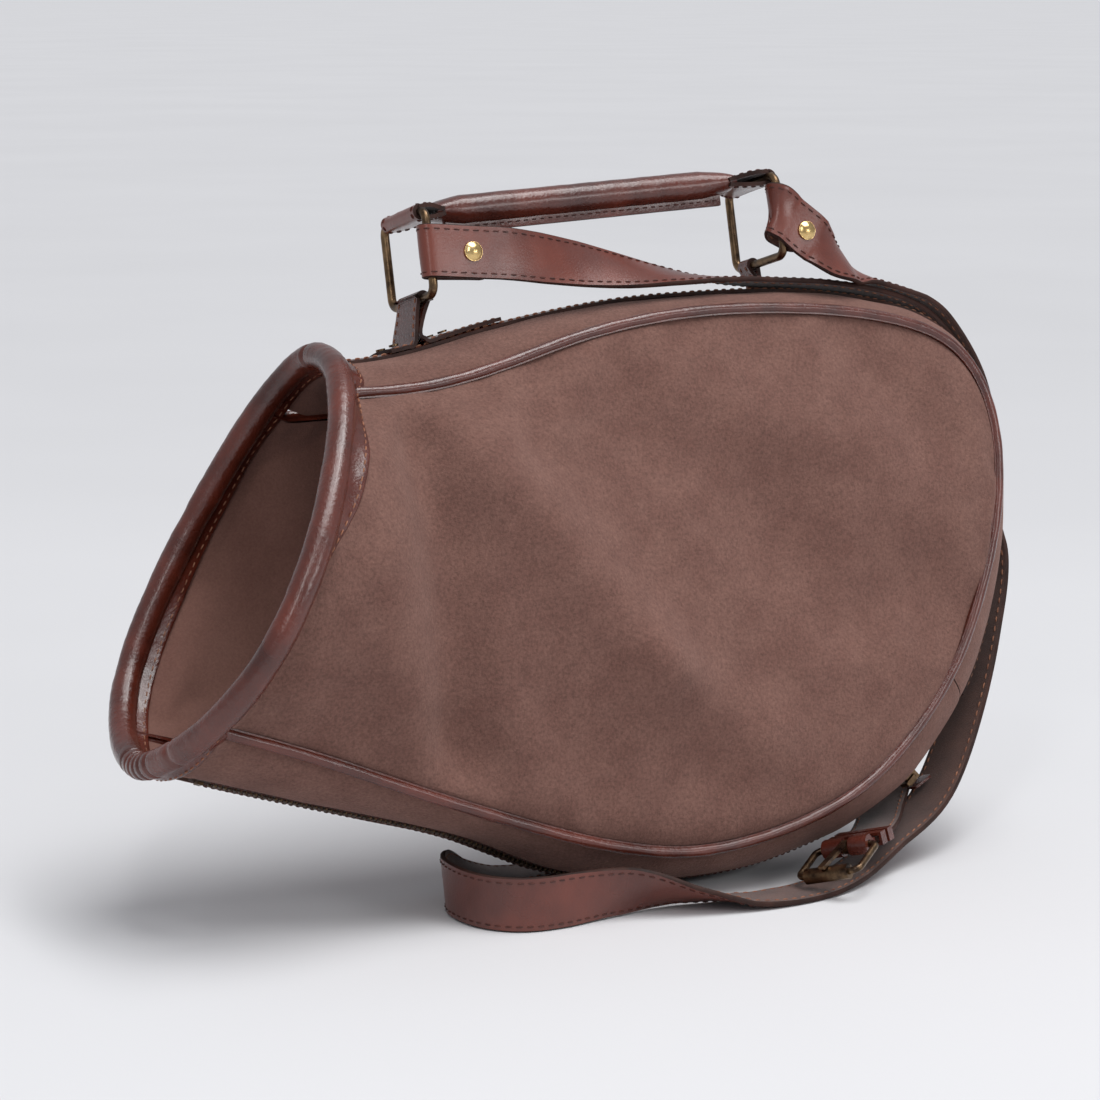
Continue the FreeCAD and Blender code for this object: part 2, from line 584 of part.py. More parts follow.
def prong():
    """The pin of the buckle: an eye on the heel bar and a finger that rests on the roller."""
    width = size("prong_width")
    eye_out = PIN + 0.1 + 1.5
    start = V(0, -width / 2, 0)
    reach = size("buckle_length") + 4.5
    rest_z = size("roller_radius") + 0.25
    rise = degrees(atan2(rest_z - PIN - 0.1, size("buckle_length")))
    finger = Part.makeBox(reach, width, 1.8, V(0, -width / 2, PIN + 0.1))
    finger = finger.makeFillet(0.6, [edge for edge in finger.Edges if edge.BoundBox.XMin > reach - 0.1])
    finger.rotate(V(0, 0, 0), V(0, 1, 0), -rise)
    eye = Part.makeCylinder(eye_out, width, start, Y_AXIS)
    bore = Part.makeCylinder(PIN + 0.1, width, start, Y_AXIS)
    return eye.fuse(finger).cut(bore).removeSplitter()


def chape():
    """The strap's end, folded round the heel bar, with a slot for the prong."""
    inner = PIN + 0.3
    outer = inner + LEATHER
    width = STRAP_W - 1
    start = V(0, -width / 2, 0)
    fold = Part.makeCylinder(outer, width, start, Y_AXIS)
    lap = Part.makeBox(6.2, width, 2 * outer, V(-6.2, -width / 2, -outer))
    lap = lap.cut(Part.makeBox(4, width, 2 * outer, V(-6.2, -width / 2, STRAP_T / 2 + 0.4)))
    lap = lap.cut(Part.makeBox(4, width, 2 * outer, V(-6.2, -width / 2, -2 * outer - STRAP_T / 2 - 0.4)))
    bore = Part.makeCylinder(inner, width, start, Y_AXIS)
    slot_half = size("prong_width") / 2 + 0.4
    slot = Part.makeBox(outer + 3.6, 2 * slot_half, 4 * outer, V(-3.6, -slot_half, -2 * outer))
    return fold.fuse(lap).cut(bore).cut(slot).removeSplitter()


shaped("buckle_prong", prong(), BUCKLE)
shaped("buckle_chape", chape(), CHAPE)


def keeper(name, back, length, gap):
    """A leather loop round the strap, a set distance behind the heel bar."""
    tall = 2 * gap + STRAP_T
    wide = STRAP_W + 2 * gap
    wall = 1.4
    corner = V(-back - length, -wide / 2 - wall, -tall / 2 - wall)
    outer = primitive("Box", name + "_outer", FreeCAD.Placement(corner, FreeCAD.Rotation()))
    outer.Length = length
    outer.setExpression("Width", "Sizes.strap_width + %g" % (2 * gap + 2 * wall))
    outer.setExpression("Height", "Sizes.strap_thickness + %g" % (2 * gap + 2 * wall))
    corner = V(-back - length - 1, -wide / 2, -tall / 2)
    inner = primitive("Box", name + "_inner", FreeCAD.Placement(corner, FreeCAD.Rotation()))
    inner.Length = length + 2
    inner.setExpression("Width", "Sizes.strap_width + %g" % (2 * gap))
    inner.setExpression("Height", "Sizes.strap_thickness + %g" % (2 * gap))
    return cut(name, outer, inner, CHAPE)


keeper("keeper_fixed", 8.5, 5.0, 0.35)
keeper("keeper_sliding", 16.0, 5.0, 0.35)

# ---------------------------------------------------------------- zip hardware
# The slider rides on the teeth near the top of the zip; its link and pull hang from it.
SLIDER_K = 17.75
slider_at = gusset_point(SLIDER_K, 0, 0)
slider_out = outward(SLIDER_K)
slider_along = seam_curve.tangent(SLIDER_K)[0]
SLIDER = BAG.multiply(FreeCAD.Placement(
    slider_at, FreeCAD.Rotation(slider_along, Y_AXIS, slider_out, "XYZ")))
SLIDER_LEN = 11.0
PLATE_T = 1.3
PIVOT_R = 1.0
PIVOT_OUT = 3.0
PLATE_LIFT = 0.7


def zip_slider():
    """A slider plate over the teeth, with an arched bridge that holds the pull's link."""
    width = size("slider_width")
    plate = Part.makeBox(SLIDER_LEN, width, PLATE_T, V(-SLIDER_LEN / 2, -width / 2, PLATE_LIFT))
    plate = plate.makeFillet(2.0, [edge for edge in plate.Edges
                                   if edge.BoundBox.ZLength > PLATE_T - 0.1 and edge.BoundBox.XLength < 0.1])
    bridge = Part.makeBox(7.0, 2.0, PIVOT_OUT + 2.4, V(-3.5, -1.0, PLATE_LIFT + PLATE_T - 0.1))
    window = Part.makeCylinder(PIVOT_R + 0.5, 2.0, V(0, -1.0, PLATE_LIFT + PLATE_T + PIVOT_OUT - 0.5), Y_AXIS)
    return plate.fuse(bridge).cut(window).removeSplitter()


shaped("zip_slider", zip_slider(), SLIDER)
LINK_WIDE = 7.0
LINK_LONG = 7.0


def zip_link():
    """A flat metal ring from the slider's bridge to the leather pull."""
    wire = 2 * PIVOT_R
    corner = V(-PIVOT_R, -LINK_WIDE / 2, -LINK_LONG + PIVOT_R)
    outline = Part.makeBox(wire, LINK_WIDE, LINK_LONG, corner)
    hollow = Part.makeBox(2 * wire, LINK_WIDE - 2 * wire, LINK_LONG - 2 * wire,
                          corner + V(-PIVOT_R, wire, wire))
    link = outline.cut(hollow)
    rounded = [edge for edge in link.Edges if edge.BoundBox.XLength > wire - 0.1
               and abs(edge.CenterOfMass.y) > LINK_WIDE / 2 - 0.1]
    return link.makeFillet(0.7, rounded)


PULL_T = 1.2
PULL_LONG = 11.0
PULL_WIDE = 8.0


def zip_pull():
    """A short leather tab that hangs on the link and is folded back over the slider."""
    tab = Part.makeBox(PULL_T, PULL_WIDE, PULL_LONG, V(-PULL_T / 2, -PULL_WIDE / 2, -PULL_LONG))
    corners = [edge for edge in tab.Edges if edge.BoundBox.XLength > PULL_T - 0.1]
    return tab.makeFillet(2.0, corners)


LINK_DOWN = V(-0.75, 0, -0.66).normalize()
SLIDER_TO_BAG = BAG.inverse().multiply(SLIDER)
LINK_PIVOT = SLIDER_TO_BAG.multVec(V(0, 0, PLATE_LIFT + PLATE_T + PIVOT_OUT - 0.5))
PULL_START = LINK_PIVOT + LINK_DOWN * (LINK_LONG - 3) + slider_out * (PIVOT_R + 2.8)
PULL_DOWN = slider_along * -1 + slider_out * 0.25


def hanging(point, downward, facing):
    """A placement whose z runs up against a direction, with x as near as can be to facing."""
    turn = FreeCAD.Rotation(facing, V(0, 0, 0), downward * -1, "ZXY")
    return BAG.multiply(FreeCAD.Placement(point, turn))


shaped("zip_link", zip_link(), hanging(LINK_PIVOT, LINK_DOWN, slider_out))
shaped("zip_pull", zip_pull(), hanging(PULL_START, PULL_DOWN, slider_out))

STOP_LONG = 0.06
stops = [flat_band(k, k + STOP_LONG, -TEETH_IN - TEETH_W, TEETH_IN + TEETH_W, 0.6, -2.2, 4)
         for k in (ZIP_TOP + 0.06, ZIP_BOTTOM - 0.08)]
shaped("zip_stops", Part.makeCompound(stops))


# ---------------------------------------------------------------- rivets
def rivets(name, places):
    """Small round-headed rivets through the patches and the strip."""
    heads = []
    for k, y, lift in places:
        base = gusset_point(k, 0, lift) + Y_AXIS * y
        heads.append(Part.makeCylinder(2.2, 0.9, base, outward(k)))
    return shaped(name, Part.makeCompound(heads))


PATCH_TOP = STRIP_TOP + 0.2 + size("trim_thickness") + 0.15
rivets("tab_rivets", [(k, y, PATCH_TOP) for k in (1.42, 2.35) for y in (-7, 7)])

doc.recompute()
for obj in doc.Objects:
    if "Invalid" in obj.State or "Error" in obj.State:
        raise RuntimeError("%s failed: %s" % (obj.Label, obj.State))
for obj in PARTS:
    if obj.Shape.isNull() or not obj.Shape.isValid():
        raise RuntimeError("%s has no valid shape" % obj.Label)

os.makedirs("parts", exist_ok=True)
for obj in PARTS:
    obj.Shape.exportStep("parts/%s.step" % obj.Label)
    print("%-20s %2d solids %9.1f mm3" % (obj.Label, len(obj.Shape.Solids), obj.Shape.Volume))
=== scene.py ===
import math

import bpy
import bmesh
import numpy as np
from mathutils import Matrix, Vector, noise


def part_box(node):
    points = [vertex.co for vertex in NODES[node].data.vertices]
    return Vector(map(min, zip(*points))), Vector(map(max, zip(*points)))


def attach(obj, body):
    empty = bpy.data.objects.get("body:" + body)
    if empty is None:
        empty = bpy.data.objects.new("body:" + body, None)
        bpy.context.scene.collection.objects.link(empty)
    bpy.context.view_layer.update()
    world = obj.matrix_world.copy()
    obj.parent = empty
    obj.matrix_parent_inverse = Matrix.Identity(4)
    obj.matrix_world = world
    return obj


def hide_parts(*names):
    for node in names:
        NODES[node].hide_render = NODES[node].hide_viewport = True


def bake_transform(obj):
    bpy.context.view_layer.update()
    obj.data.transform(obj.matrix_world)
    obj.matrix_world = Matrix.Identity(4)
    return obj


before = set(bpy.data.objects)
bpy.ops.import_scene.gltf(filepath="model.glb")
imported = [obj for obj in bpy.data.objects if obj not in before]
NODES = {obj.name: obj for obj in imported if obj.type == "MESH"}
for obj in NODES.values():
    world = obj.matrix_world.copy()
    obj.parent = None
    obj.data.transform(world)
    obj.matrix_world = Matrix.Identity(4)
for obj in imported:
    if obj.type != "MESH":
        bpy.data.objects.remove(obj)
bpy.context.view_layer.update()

# ------------------------------------------------------------------ frames and curves
# Lengths are in millimetres in the bag's own frame: x along the bag to its round end,
# y across it with the front panel at -y, z up.  The bag leans back by LEAN.
LEAN = math.radians(14.0)
C, S = math.cos(LEAN), math.sin(LEAN)
BAG_TURN = np.array([[1.0, 0.0, 0.0], [0.0, C, S], [0.0, -S, C]])
low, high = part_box("ring_left")
RING_CENTRE = np.array((low + high) / 2) * 1000
BAG_BASE = RING_CENTRE - BAG_TURN @ np.array([-29.0, 0.0, 293.0])
FLOOR_BASE = BAG_BASE - np.array([0.0, 10.0, 0.7])
X, Y, Z = np.eye(3)


def to_part(p):
    return (np.asarray(p, float) @ BAG_TURN.T + BAG_BASE) * 0.001


def on_floor(*p):
    return (np.array(p, float) + FLOOR_BASE - BAG_BASE) @ BAG_TURN


def floor_dir(*p):
    return np.array(p, float) @ BAG_TURN


def unit(v):
    v = np.asarray(v, float)
    return v / np.maximum(np.linalg.norm(v, axis=-1, keepdims=True), 1e-9)


class Cubic:
    """A cubic spline through values at 0, 1, 2 and so on."""

    def __init__(self, values, closed=False):
        v = np.asarray(values, float)
        v = v[:, None] if v.ndim == 1 else v
        n = len(v)
        a = 4 * np.eye(n)
        rhs = np.zeros_like(v)
        for i in range(n):
            if closed or 0 < i < n - 1:
                a[i, (i - 1) % n] += 1
                a[i, (i + 1) % n] += 1
                rhs[i] = 6 * (v[i - 1] - 2 * v[i] + v[(i + 1) % n])
        self.v, self.m, self.n, self.closed = v, np.linalg.solve(a, rhs), n, closed

    def parts(self, t):
        t = np.asarray(t, float)
        if self.closed:
            t = t % self.n
            i = np.floor(t).astype(int) % self.n
            j = (i + 1) % self.n
        else:
            t = np.clip(t, 0, self.n - 1)
            i = np.minimum(np.floor(t).astype(int), self.n - 2)
            j = i + 1
        u = (t - np.floor(t) if self.closed else t - i)[..., None]
        return self.v[i], self.v[j], self.m[i], self.m[j], u

    def __call__(self, t):
        a, b, ma, mb, u = self.parts(t)
        w = 1 - u
        return a * w + b * u + (w ** 3 - w) * ma / 6 + (u ** 3 - u) * mb / 6

    def slope(self, t):
        a, b, ma, mb, u = self.parts(t)
        w = 1 - u
        return b - a + (1 - 3 * w ** 2) * ma / 6 + (3 * u ** 2 - 1) * mb / 6


def noise_at(points, scale, seed=0.0):
    """Smooth noise from -1 to 1 at each point; scale is its size in millimetres."""
    flat = np.asarray(points, float).reshape(-1, 3) / scale + seed
    found = np.array([noise.noise(Vector(p)) for p in flat])
    return found.reshape(np.asarray(points).shape[:-1])


# The seam round a panel: (x, z, how far the gusset stands out from it).
SEAM = [(-85, 229.5, 17), (-54, 230, 18), (-25, 234, 19), (5, 241.5, 18), (35, 249.5, 15),
        (70, 255.5, 13), (107, 258, 12), (146, 257, 13), (180, 253.5, 14), (208, 247.5, 15),
        (229, 238, 17), (242.5, 223, 18), (249, 204, 19), (250, 183, 19), (246, 158, 20),
        (236.5, 131, 22.5), (221, 100, 24.5), (202, 74, 25), (179, 52, 24), (152, 34, 19),
        (121, 22.5, 16), (91, 16.5, 14), (60, 15, 12), (30, 19.5, 12), (0, 28, 12),
        (-35, 41, 9), (-75, 57, 12), (-118, 75, 17), (-162, 91, 19)]
seam = Cubic([(x, 0, z) for x, z, b in SEAM])
bulge = Cubic([b for x, z, b in SEAM])
SEAM_Y = 36.5
ZIP_TOP = 16.6
ZIP_BOTTOM = 27.8


def outward(k):
    step = seam.slope(k)
    return unit(np.stack([-step[..., 2], 0 * step[..., 0], step[..., 0]], -1))


def gusset_point(k, y, lift=0.0):
    k, y, lift = np.broadcast_arrays(np.asarray(k, float), np.asarray(y, float), np.asarray(lift, float))
    out = bulge(k)[..., 0] * (1 - np.abs(y / SEAM_Y) ** 2.6) + lift
    return seam(k) + outward(k) * out[..., None] + Y * y[..., None]


TILT = math.radians(30.0)
YAW = math.radians(5.0)
MOUTH_CENTRE = np.array([-131.5, 0, 165])
MOUTH_UP = np.array([math.sin(TILT), 0, math.cos(TILT)])
MOUTH_AXIS = np.array([math.cos(TILT), 0, -math.sin(TILT)])
MOUTH_SIDE = [(100, 0), (93, 24), (80, 41), (60, 57), (34, 71), (5, 81), (-26, 84),
              (-52, 78), (-73, 62), (-89, 38), (-97, 15)]


def mouth_point(height, y):
    return (MOUTH_CENTRE + MOUTH_UP * height + Y * (y * math.cos(YAW))
            - MOUTH_AXIS * (y * math.sin(YAW)))


near = [mouth_point(h, -y) for h, y in MOUTH_SIDE]
far = [mouth_point(h, y * 0.72) for h, y in reversed(MOUTH_SIDE[1:])]
oval = Cubic(near + [mouth_point(-99, 0)] + far, closed=True)


TURN = 22
rim_t = np.linspace(0, TURN, 660, endpoint=False)
rim = oval(rim_t)
rim_forward = unit(oval.slope(rim_t))
axis = np.broadcast_to(MOUTH_AXIS, rim.shape)
radial = unit(np.cross(rim_forward, axis))
radial *= np.sign(((rim - MOUTH_CENTRE) * radial).sum(1, keepdims=True))


def tuck(points):
    """Where the suede that reaches each point is tucked into the rim."""
    gap = rim[None] - points[:, None]
    gap = gap - (gap @ MOUTH_AXIS)[..., None] * MOUTH_AXIS
    best = np.linalg.norm(gap, axis=-1).argmin(1)
    found = rim[best] + radial[best] * 2.4 + MOUTH_AXIS * 2.5
    for _ in range(6 if len(points) > 6 else 0):
        found[1:-1] = (found[:-2] + 2 * found[1:-1] + found[2:]) / 4
    return found


def to_rim(sheet, rows=5):
    """Carries a sheet on from its first row to the rim."""
    start = tuck(sheet[0])
    w = np.linspace(0, 1, rows + 1)[:-1, None, None]
    return np.concatenate([start[None] * (1 - w) + sheet[:1] * w, sheet])


# ------------------------------------------------------------------ materials
def srgb(r, g, b):
    return tuple(((c / 255 + 0.055) / 1.055) ** 2.4 if c > 10 else c / 3295 for c in (r, g, b)) + (1.0,)


def material(name, low, high, scale, rough, bump, grain, **fixed):
    """A procedural material: two colours mixed by noise, and a bump of fine grain.

    scale is the size of the colour patches and grain that of the bump, both in mm."""
    m = bpy.data.materials.new(name)
    m.use_nodes = True
    nodes, links = m.node_tree.nodes, m.node_tree.links
    shader = nodes["Principled BSDF"]
    place = nodes.new("ShaderNodeTexCoord").outputs["Object"]

    def noise_node(size_mm, detail, rough_share=0.55):
        n = nodes.new("ShaderNodeTexNoise")
        n.inputs["Scale"].default_value = 1000.0 / size_mm
        n.inputs["Detail"].default_value = detail
        n.inputs["Roughness"].default_value = rough_share
        links.new(place, n.inputs["Vector"])
        return n.outputs["Fac"]

    def ramp(source, stops):
        r = nodes.new("ShaderNodeValToRGB")
        while len(r.color_ramp.elements) < len(stops):
            r.color_ramp.elements.new(0.5)
        for e, (at, colour) in zip(r.color_ramp.elements, stops):
            e.position = at
            e.color = colour
        links.new(source, r.inputs["Fac"])
        return r.outputs["Color"]

    def mix(a, b, factor, mode):
        n = nodes.new("ShaderNodeMix")
        n.data_type = "RGBA"
        n.blend_type = mode
        n.inputs["Factor"].default_value = factor
        links.new(a, n.inputs["A"])
        links.new(b, n.inputs["B"])
        return n.outputs["Result"]

    patches = ramp(noise_node(scale, 3), [(0.34, low), (0.66, high)])
    speck = ramp(noise_node(grain * 1.3, 4, 0.7), [(0.3, (0.55, 0.55, 0.55, 1)), (0.7, (1, 1, 1, 1))])
    links.new(mix(patches, speck, fixed.pop("speckle", 0.35), "MULTIPLY"), shader.inputs["Base Color"])
    smooth, dull = ((value,) * 3 + (1,) for value in rough)
    rough_from = ramp(noise_node(scale * 0.6, 3), [(0.3, smooth), (0.7, dull)])
    links.new(rough_from, shader.inputs["Roughness"])
    heights = noise_node(grain, 5, 0.65)
    cell = nodes.new("ShaderNodeTexVoronoi")
    cell.inputs["Scale"].default_value = 1000.0 / (grain * 1.6)
    links.new(place, cell.inputs["Vector"])
    both = nodes.new("ShaderNodeMath")
    both.operation = "MULTIPLY_ADD"
    both.inputs[1].default_value = fixed.pop("cells", 0.3)
    links.new(cell.outputs["Distance"], both.inputs[0])
    links.new(heights, both.inputs[2])
    b = nodes.new("ShaderNodeBump")
    b.inputs["Strength"].default_value = bump
    b.inputs["Distance"].default_value = 0.001 * grain * 0.5
    links.new(both.outputs[0], b.inputs["Height"])
    links.new(b.outputs["Normal"], shader.inputs["Normal"])
    for socket, value in fixed.items():
        shader.inputs[socket.replace("_", " ")].default_value = value
    return m


SUEDE_M = material("suede", srgb(119, 85, 76), srgb(130, 95, 85), 16, (0.8, 0.95), 0.8, 1.1,
                   speckle=1.0, cells=0.1, Sheen_Weight=0.2, Sheen_Roughness=0.45,
                   Sheen_Tint=srgb(225, 195, 185), Specular_IOR_Level=0.2)
INNER_M = material("inner_suede", srgb(122, 86, 76), srgb(136, 98, 87), 40, (0.85, 0.95), 0.6, 0.9,
                   speckle=0.6, cells=0.1, Sheen_Weight=0.15, Sheen_Roughness=0.5, Specular_IOR_Level=0.2)
LEATHER_M = material("leather", srgb(66, 26, 18), srgb(98, 41, 28), 26, (0.17, 0.32), 0.4, 1.0,
                     speckle=0.3, cells=0.7, Coat_Weight=0.4, Coat_Roughness=0.16)
STRAP_M = material("strap_leather", srgb(86, 38, 28), srgb(112, 52, 38), 34, (0.24, 0.38), 0.22, 0.8,
                   speckle=0.2, cells=0.5, Coat_Weight=0.3, Coat_Roughness=0.28)
FLESH_M = material("strap_suede", srgb(68, 42, 34), srgb(92, 60, 49), 18, (0.85, 0.95), 0.6, 0.8,
                   speckle=0.5, cells=0.1, Sheen_Weight=0.25, Sheen_Roughness=0.5)
EDGE_M = material("cut_edge", srgb(38, 21, 17), srgb(62, 35, 27), 12, (0.6, 0.8), 0.4, 0.6,
                  Specular_IOR_Level=0.3)
THREAD_M = material("thread", srgb(120, 74, 54), srgb(164, 112, 84), 5, (0.7, 0.85), 0.5, 0.3)
DARK_THREAD_M = material("dark_thread", srgb(58, 26, 20), srgb(86, 42, 32), 5, (0.7, 0.85), 0.5, 0.3)
BRONZE_M = material("bronze", srgb(70, 56, 46), srgb(138, 112, 84), 6, (0.25, 0.45), 0.15, 0.7,
                    speckle=0.5, Metallic=1.0)
BRASS_M = material("brass", srgb(205, 170, 110), srgb(238, 208, 150), 5, (0.14, 0.3), 0.08, 0.6, Metallic=1.0)
TAPE_M = material("zip_tape", srgb(48, 34, 30), srgb(66, 46, 40), 4, (0.8, 0.9), 0.7, 0.5, cells=0.8)
TEETH_M = material("zip_teeth", srgb(56, 44, 36), srgb(104, 84, 62), 3, (0.3, 0.5), 0.1, 0.5, Metallic=0.9)
CORE_M = material("core", srgb(190, 176, 150), srgb(214, 200, 174), 4, (0.8, 0.9), 0.5, 0.6)
FLOOR_M = material("floor", srgb(208, 208, 210), srgb(211, 211, 213), 700, (0.85, 0.95), 0.02, 4.0,
                   speckle=0.0)


# ------------------------------------------------------------------ mesh building
def rotated_frames(path, up_hint=None):
    """Tangent, side and up at each point of a path, turning as little as it can."""
    tangent = unit(np.gradient(path, axis=0))
    up = np.zeros_like(path)
    start = Y if up_hint is None else np.asarray(up_hint, float)
    for i, t in enumerate(tangent):
        start = unit(start - t * start.dot(t))
        up[i] = start
    return tangent, np.cross(tangent, up), up


class Piece:
    def __init__(self, name):
        self.name, self.verts, self.faces, self.mats, self.count = name, [], [], [], 0

    def add(self, pts):
        self.verts.append(np.asarray(pts, float).reshape(-1, 3))
        self.count += len(self.verts[-1])
        return self.count - len(self.verts[-1])

    def quads(self, base, nu, nv, wrap_u=False, wrap_v=False, mat=0):
        i = np.arange(nu if wrap_u else nu - 1)[:, None]
        j = np.arange(nv if wrap_v else nv - 1)[None, :]
        mats = np.broadcast_to(mat, (i.size, j.size)).ravel()
        a = base + i * nv + j
        b = base + ((i + 1) % nu) * nv + j
        c = base + ((i + 1) % nu) * nv + (j + 1) % nv
        d = base + i * nv + (j + 1) % nv
        self.faces += np.stack([q.ravel() for q in (a, b, c, d)], 1).tolist()
        self.mats += mats.tolist()

    def grid(self, pts, **options):
        nu, nv = pts.shape[:2]
        self.quads(self.add(pts), nu, nv, **options)

    def shell(self, outer, inner, mats=(0, 0, 0)):
        """A closed skin between two grids of the same size."""
        nu, nv = outer.shape[:2]
        a, b = self.add(outer), self.add(inner)
        self.quads(a, nu, nv, mat=mats[0])
        self.quads(b, nu, nv, mat=mats[1])
        rim = [(i, 0) for i in range(nu)] + [(nu - 1, j) for j in range(1, nv)]
        rim += [(i, nv - 1) for i in range(nu - 2, -1, -1)] + [(0, j) for j in range(nv - 2, 0, -1)]
        flat = [i * nv + j for i, j in rim]
        for p, q in zip(flat, flat[1:] + flat[:1]):
            self.faces.append((a + p, a + q, b + q, b + p))
            self.mats.append(mats[2])

    def tube(self, path, radius, sides=14, closed=False, mat=0, up_hint=None):
        """A tube; radius is a number, one per point, or a grid of point by side."""
        path = np.asarray(path, float)
        tangent, side, up = rotated_frames(path, up_hint)
        angle = np.linspace(0, 2 * math.pi, sides, endpoint=False)
        r = np.broadcast_to(np.asarray(radius, float).reshape(-1, 1) if np.ndim(radius) < 2
                            else radius, (len(path), sides))
        ring = (path[:, None] + side[:, None] * (r * np.cos(angle))[..., None]
                + up[:, None] * (r * np.sin(angle))[..., None])
        base = self.add(ring)
        self.quads(base, len(path), sides, wrap_u=closed, wrap_v=True, mat=mat)
        if not closed:
            for row in (0, len(path) - 1):
                self.faces.append(tuple(base + row * sides + s for s in range(sides)))
                self.mats.append(mat)

    def stitches(self, path, normal, pitch=4.6, length=3.0, radius=0.34, mat=0, seed=1.0, skip=0.0):
        """A row of sewn stitches on a surface, each sinking into it at both ends."""
        path = np.asarray(path, float)
        gaps = np.linalg.norm(np.diff(path, axis=0), axis=1)
        s = np.concatenate([[0], np.cumsum(gaps)])
        count = int((s[-1] - length) / pitch)
        for i in range(count):
            wobble = noise.noise(Vector((i * 1.7, seed, 0.3)))
            if skip and noise.noise(Vector((i * 0.37, seed, 5.1))) > 1 - skip:
                continue
            at = pitch * (i + 0.5) + wobble * 0.3 + length * np.array([0.0, 0.18, 0.5, 0.82, 1.0])
            p = np.stack([np.interp(at, s, path[:, c]) for c in range(3)], 1)
            n = unit(np.stack([np.interp(at, s, normal[:, c]) for c in range(3)], 1))
            cross = unit(np.cross(p[-1] - p[0], n[2]))
            p = p + cross * (0.25 * wobble) * np.array([-1, -0.6, 0, 0.6, 1])[:, None]
            p = p + n * (radius * np.array([-1.0, 0.1, 0.4, 0.1, -1.0]))[:, None]
            self.tube(p, radius * np.array([0.55, 0.95, 1.0, 0.95, 0.55]), sides=5, mat=mat, up_hint=n[2])

    def make(self, materials, sharp=40.0, subdivide=0, recalc=True):
        mesh = bpy.data.meshes.new(self.name)
        mesh.from_pydata(to_part(np.concatenate(self.verts)).tolist(), [], self.faces)
        for m in materials:
            mesh.materials.append(m)
        mesh.polygons.foreach_set("material_index", np.array(self.mats, np.int32))
        if recalc:
            b = bmesh.new()
            b.from_mesh(mesh)
            bmesh.ops.recalc_face_normals(b, faces=b.faces)
            b.to_mesh(mesh)
            b.free()
        mesh.polygons.foreach_set("use_smooth", [True] * len(mesh.polygons))
        if sharp:
            mesh.set_sharp_from_angle(angle=math.radians(sharp))
        obj = bpy.data.objects.new(self.name, mesh)
        bpy.context.scene.collection.objects.link(obj)
        if subdivide:
            mod = obj.modifiers.new("Smooth", "SUBSURF")
            mod.levels = mod.render_levels = subdivide
        return obj


def finish_piece(obj, body, slot, *nodes):
    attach(obj, body)
    if nodes:
        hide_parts(*nodes)
    return obj


# ------------------------------------------------------------------ suede panels
STATIONS = np.array([(0.15, 27.85, 41), (0.6, 27.45, 38), (1.2, 26.9, 33), (2.0, 26.2, 27),
                     (3.0, 25.3, 21), (4.0, 24.5, 17), (5.0, 23.6, 14), (6.0, 22.6, 12.5),
                     (7.0, 21.5, 11.5), (8.0, 20.4, 10.5), (9.0, 19.4, 9.5), (10.0, 18.4, 8.5),
                     (11.0, 17.5, 7), (12.0, 16.4, 5), (12.8, 15.4, 3), (13.3, 14.7, 1.5)])
station = Cubic(STATIONS)
# Folds of the front panel: (x, z) of both ends, half width and how far it stands out.
FRONT_FOLDS = [((-60, 200), (-50, 66), 15, -10.0), ((-24, 190), (44, 100), 20, 11.0),
               ((44, 100), (100, 62), 16, 6.0), ((-56, 80), (-36, 56), 12, -4.0),
               ((36, 206), (120, 172), 24, -4.5), ((116, 204), (178, 196), 15, 3.6),
               ((-90, 150), (-82, 96), 12, 3.0), ((110, 150), (190, 128), 26, -5.0),
               ((70, 50), (120, 130), 24, -3.4), ((-10, 90), (10, 60), 16, -3.0)]
BACK_FOLDS = [((-70, 180), (-30, 90), 16, -4.0), ((0, 200), (70, 110), 22, 5.0),
              ((110, 200), (170, 120), 24, -4.0)]


def fold_heights(p, folds):
    total = np.zeros(p.shape[:-1])
    for a, b, width, height in folds:
        a, b = np.array(a, float), np.array(b, float)
        q = p[..., [0, 2]]
        t = np.clip(((q - a) @ (b - a)) / (b - a).dot(b - a), 0, 1)
        d = np.linalg.norm(q - a - t[..., None] * (b - a), axis=-1)
        total += height * np.exp(-(d / width) ** 2)
    return total


def panel_grid(side, nu=84, nv=50, dome_scale=1.0):
    s = np.linspace(0, 1, nu) * 15.0
    v = np.linspace(0, 1, nv)
    top_k, bottom_k, dome = station(s).T
    top = seam(top_k) - outward(top_k) * 1.0
    bottom = seam(bottom_k) - outward(bottom_k) * 1.0
    y = SEAM_Y + dome_scale * dome[:, None] * np.maximum(np.sin(math.pi * v), 0)[None] ** 0.75
    flat = top[:, None] + (bottom - top)[:, None] * v[None, :, None]
    return flat + Y * (side * y)[..., None]


def edge_distance(nu, nv):
    i = np.arange(nu)[:, None]
    j = np.arange(nv)[None]
    return np.minimum(np.minimum(i, nu - 1 - i) / 8.0, np.minimum(j, nv - 1 - j) / 6.0).clip(0, 1)


CLOTH_GROW = 0.012
CLOTH_PRESSURE = 0.4
CLOTH_FRAMES = 18
CLOTH_CAP = 0.006


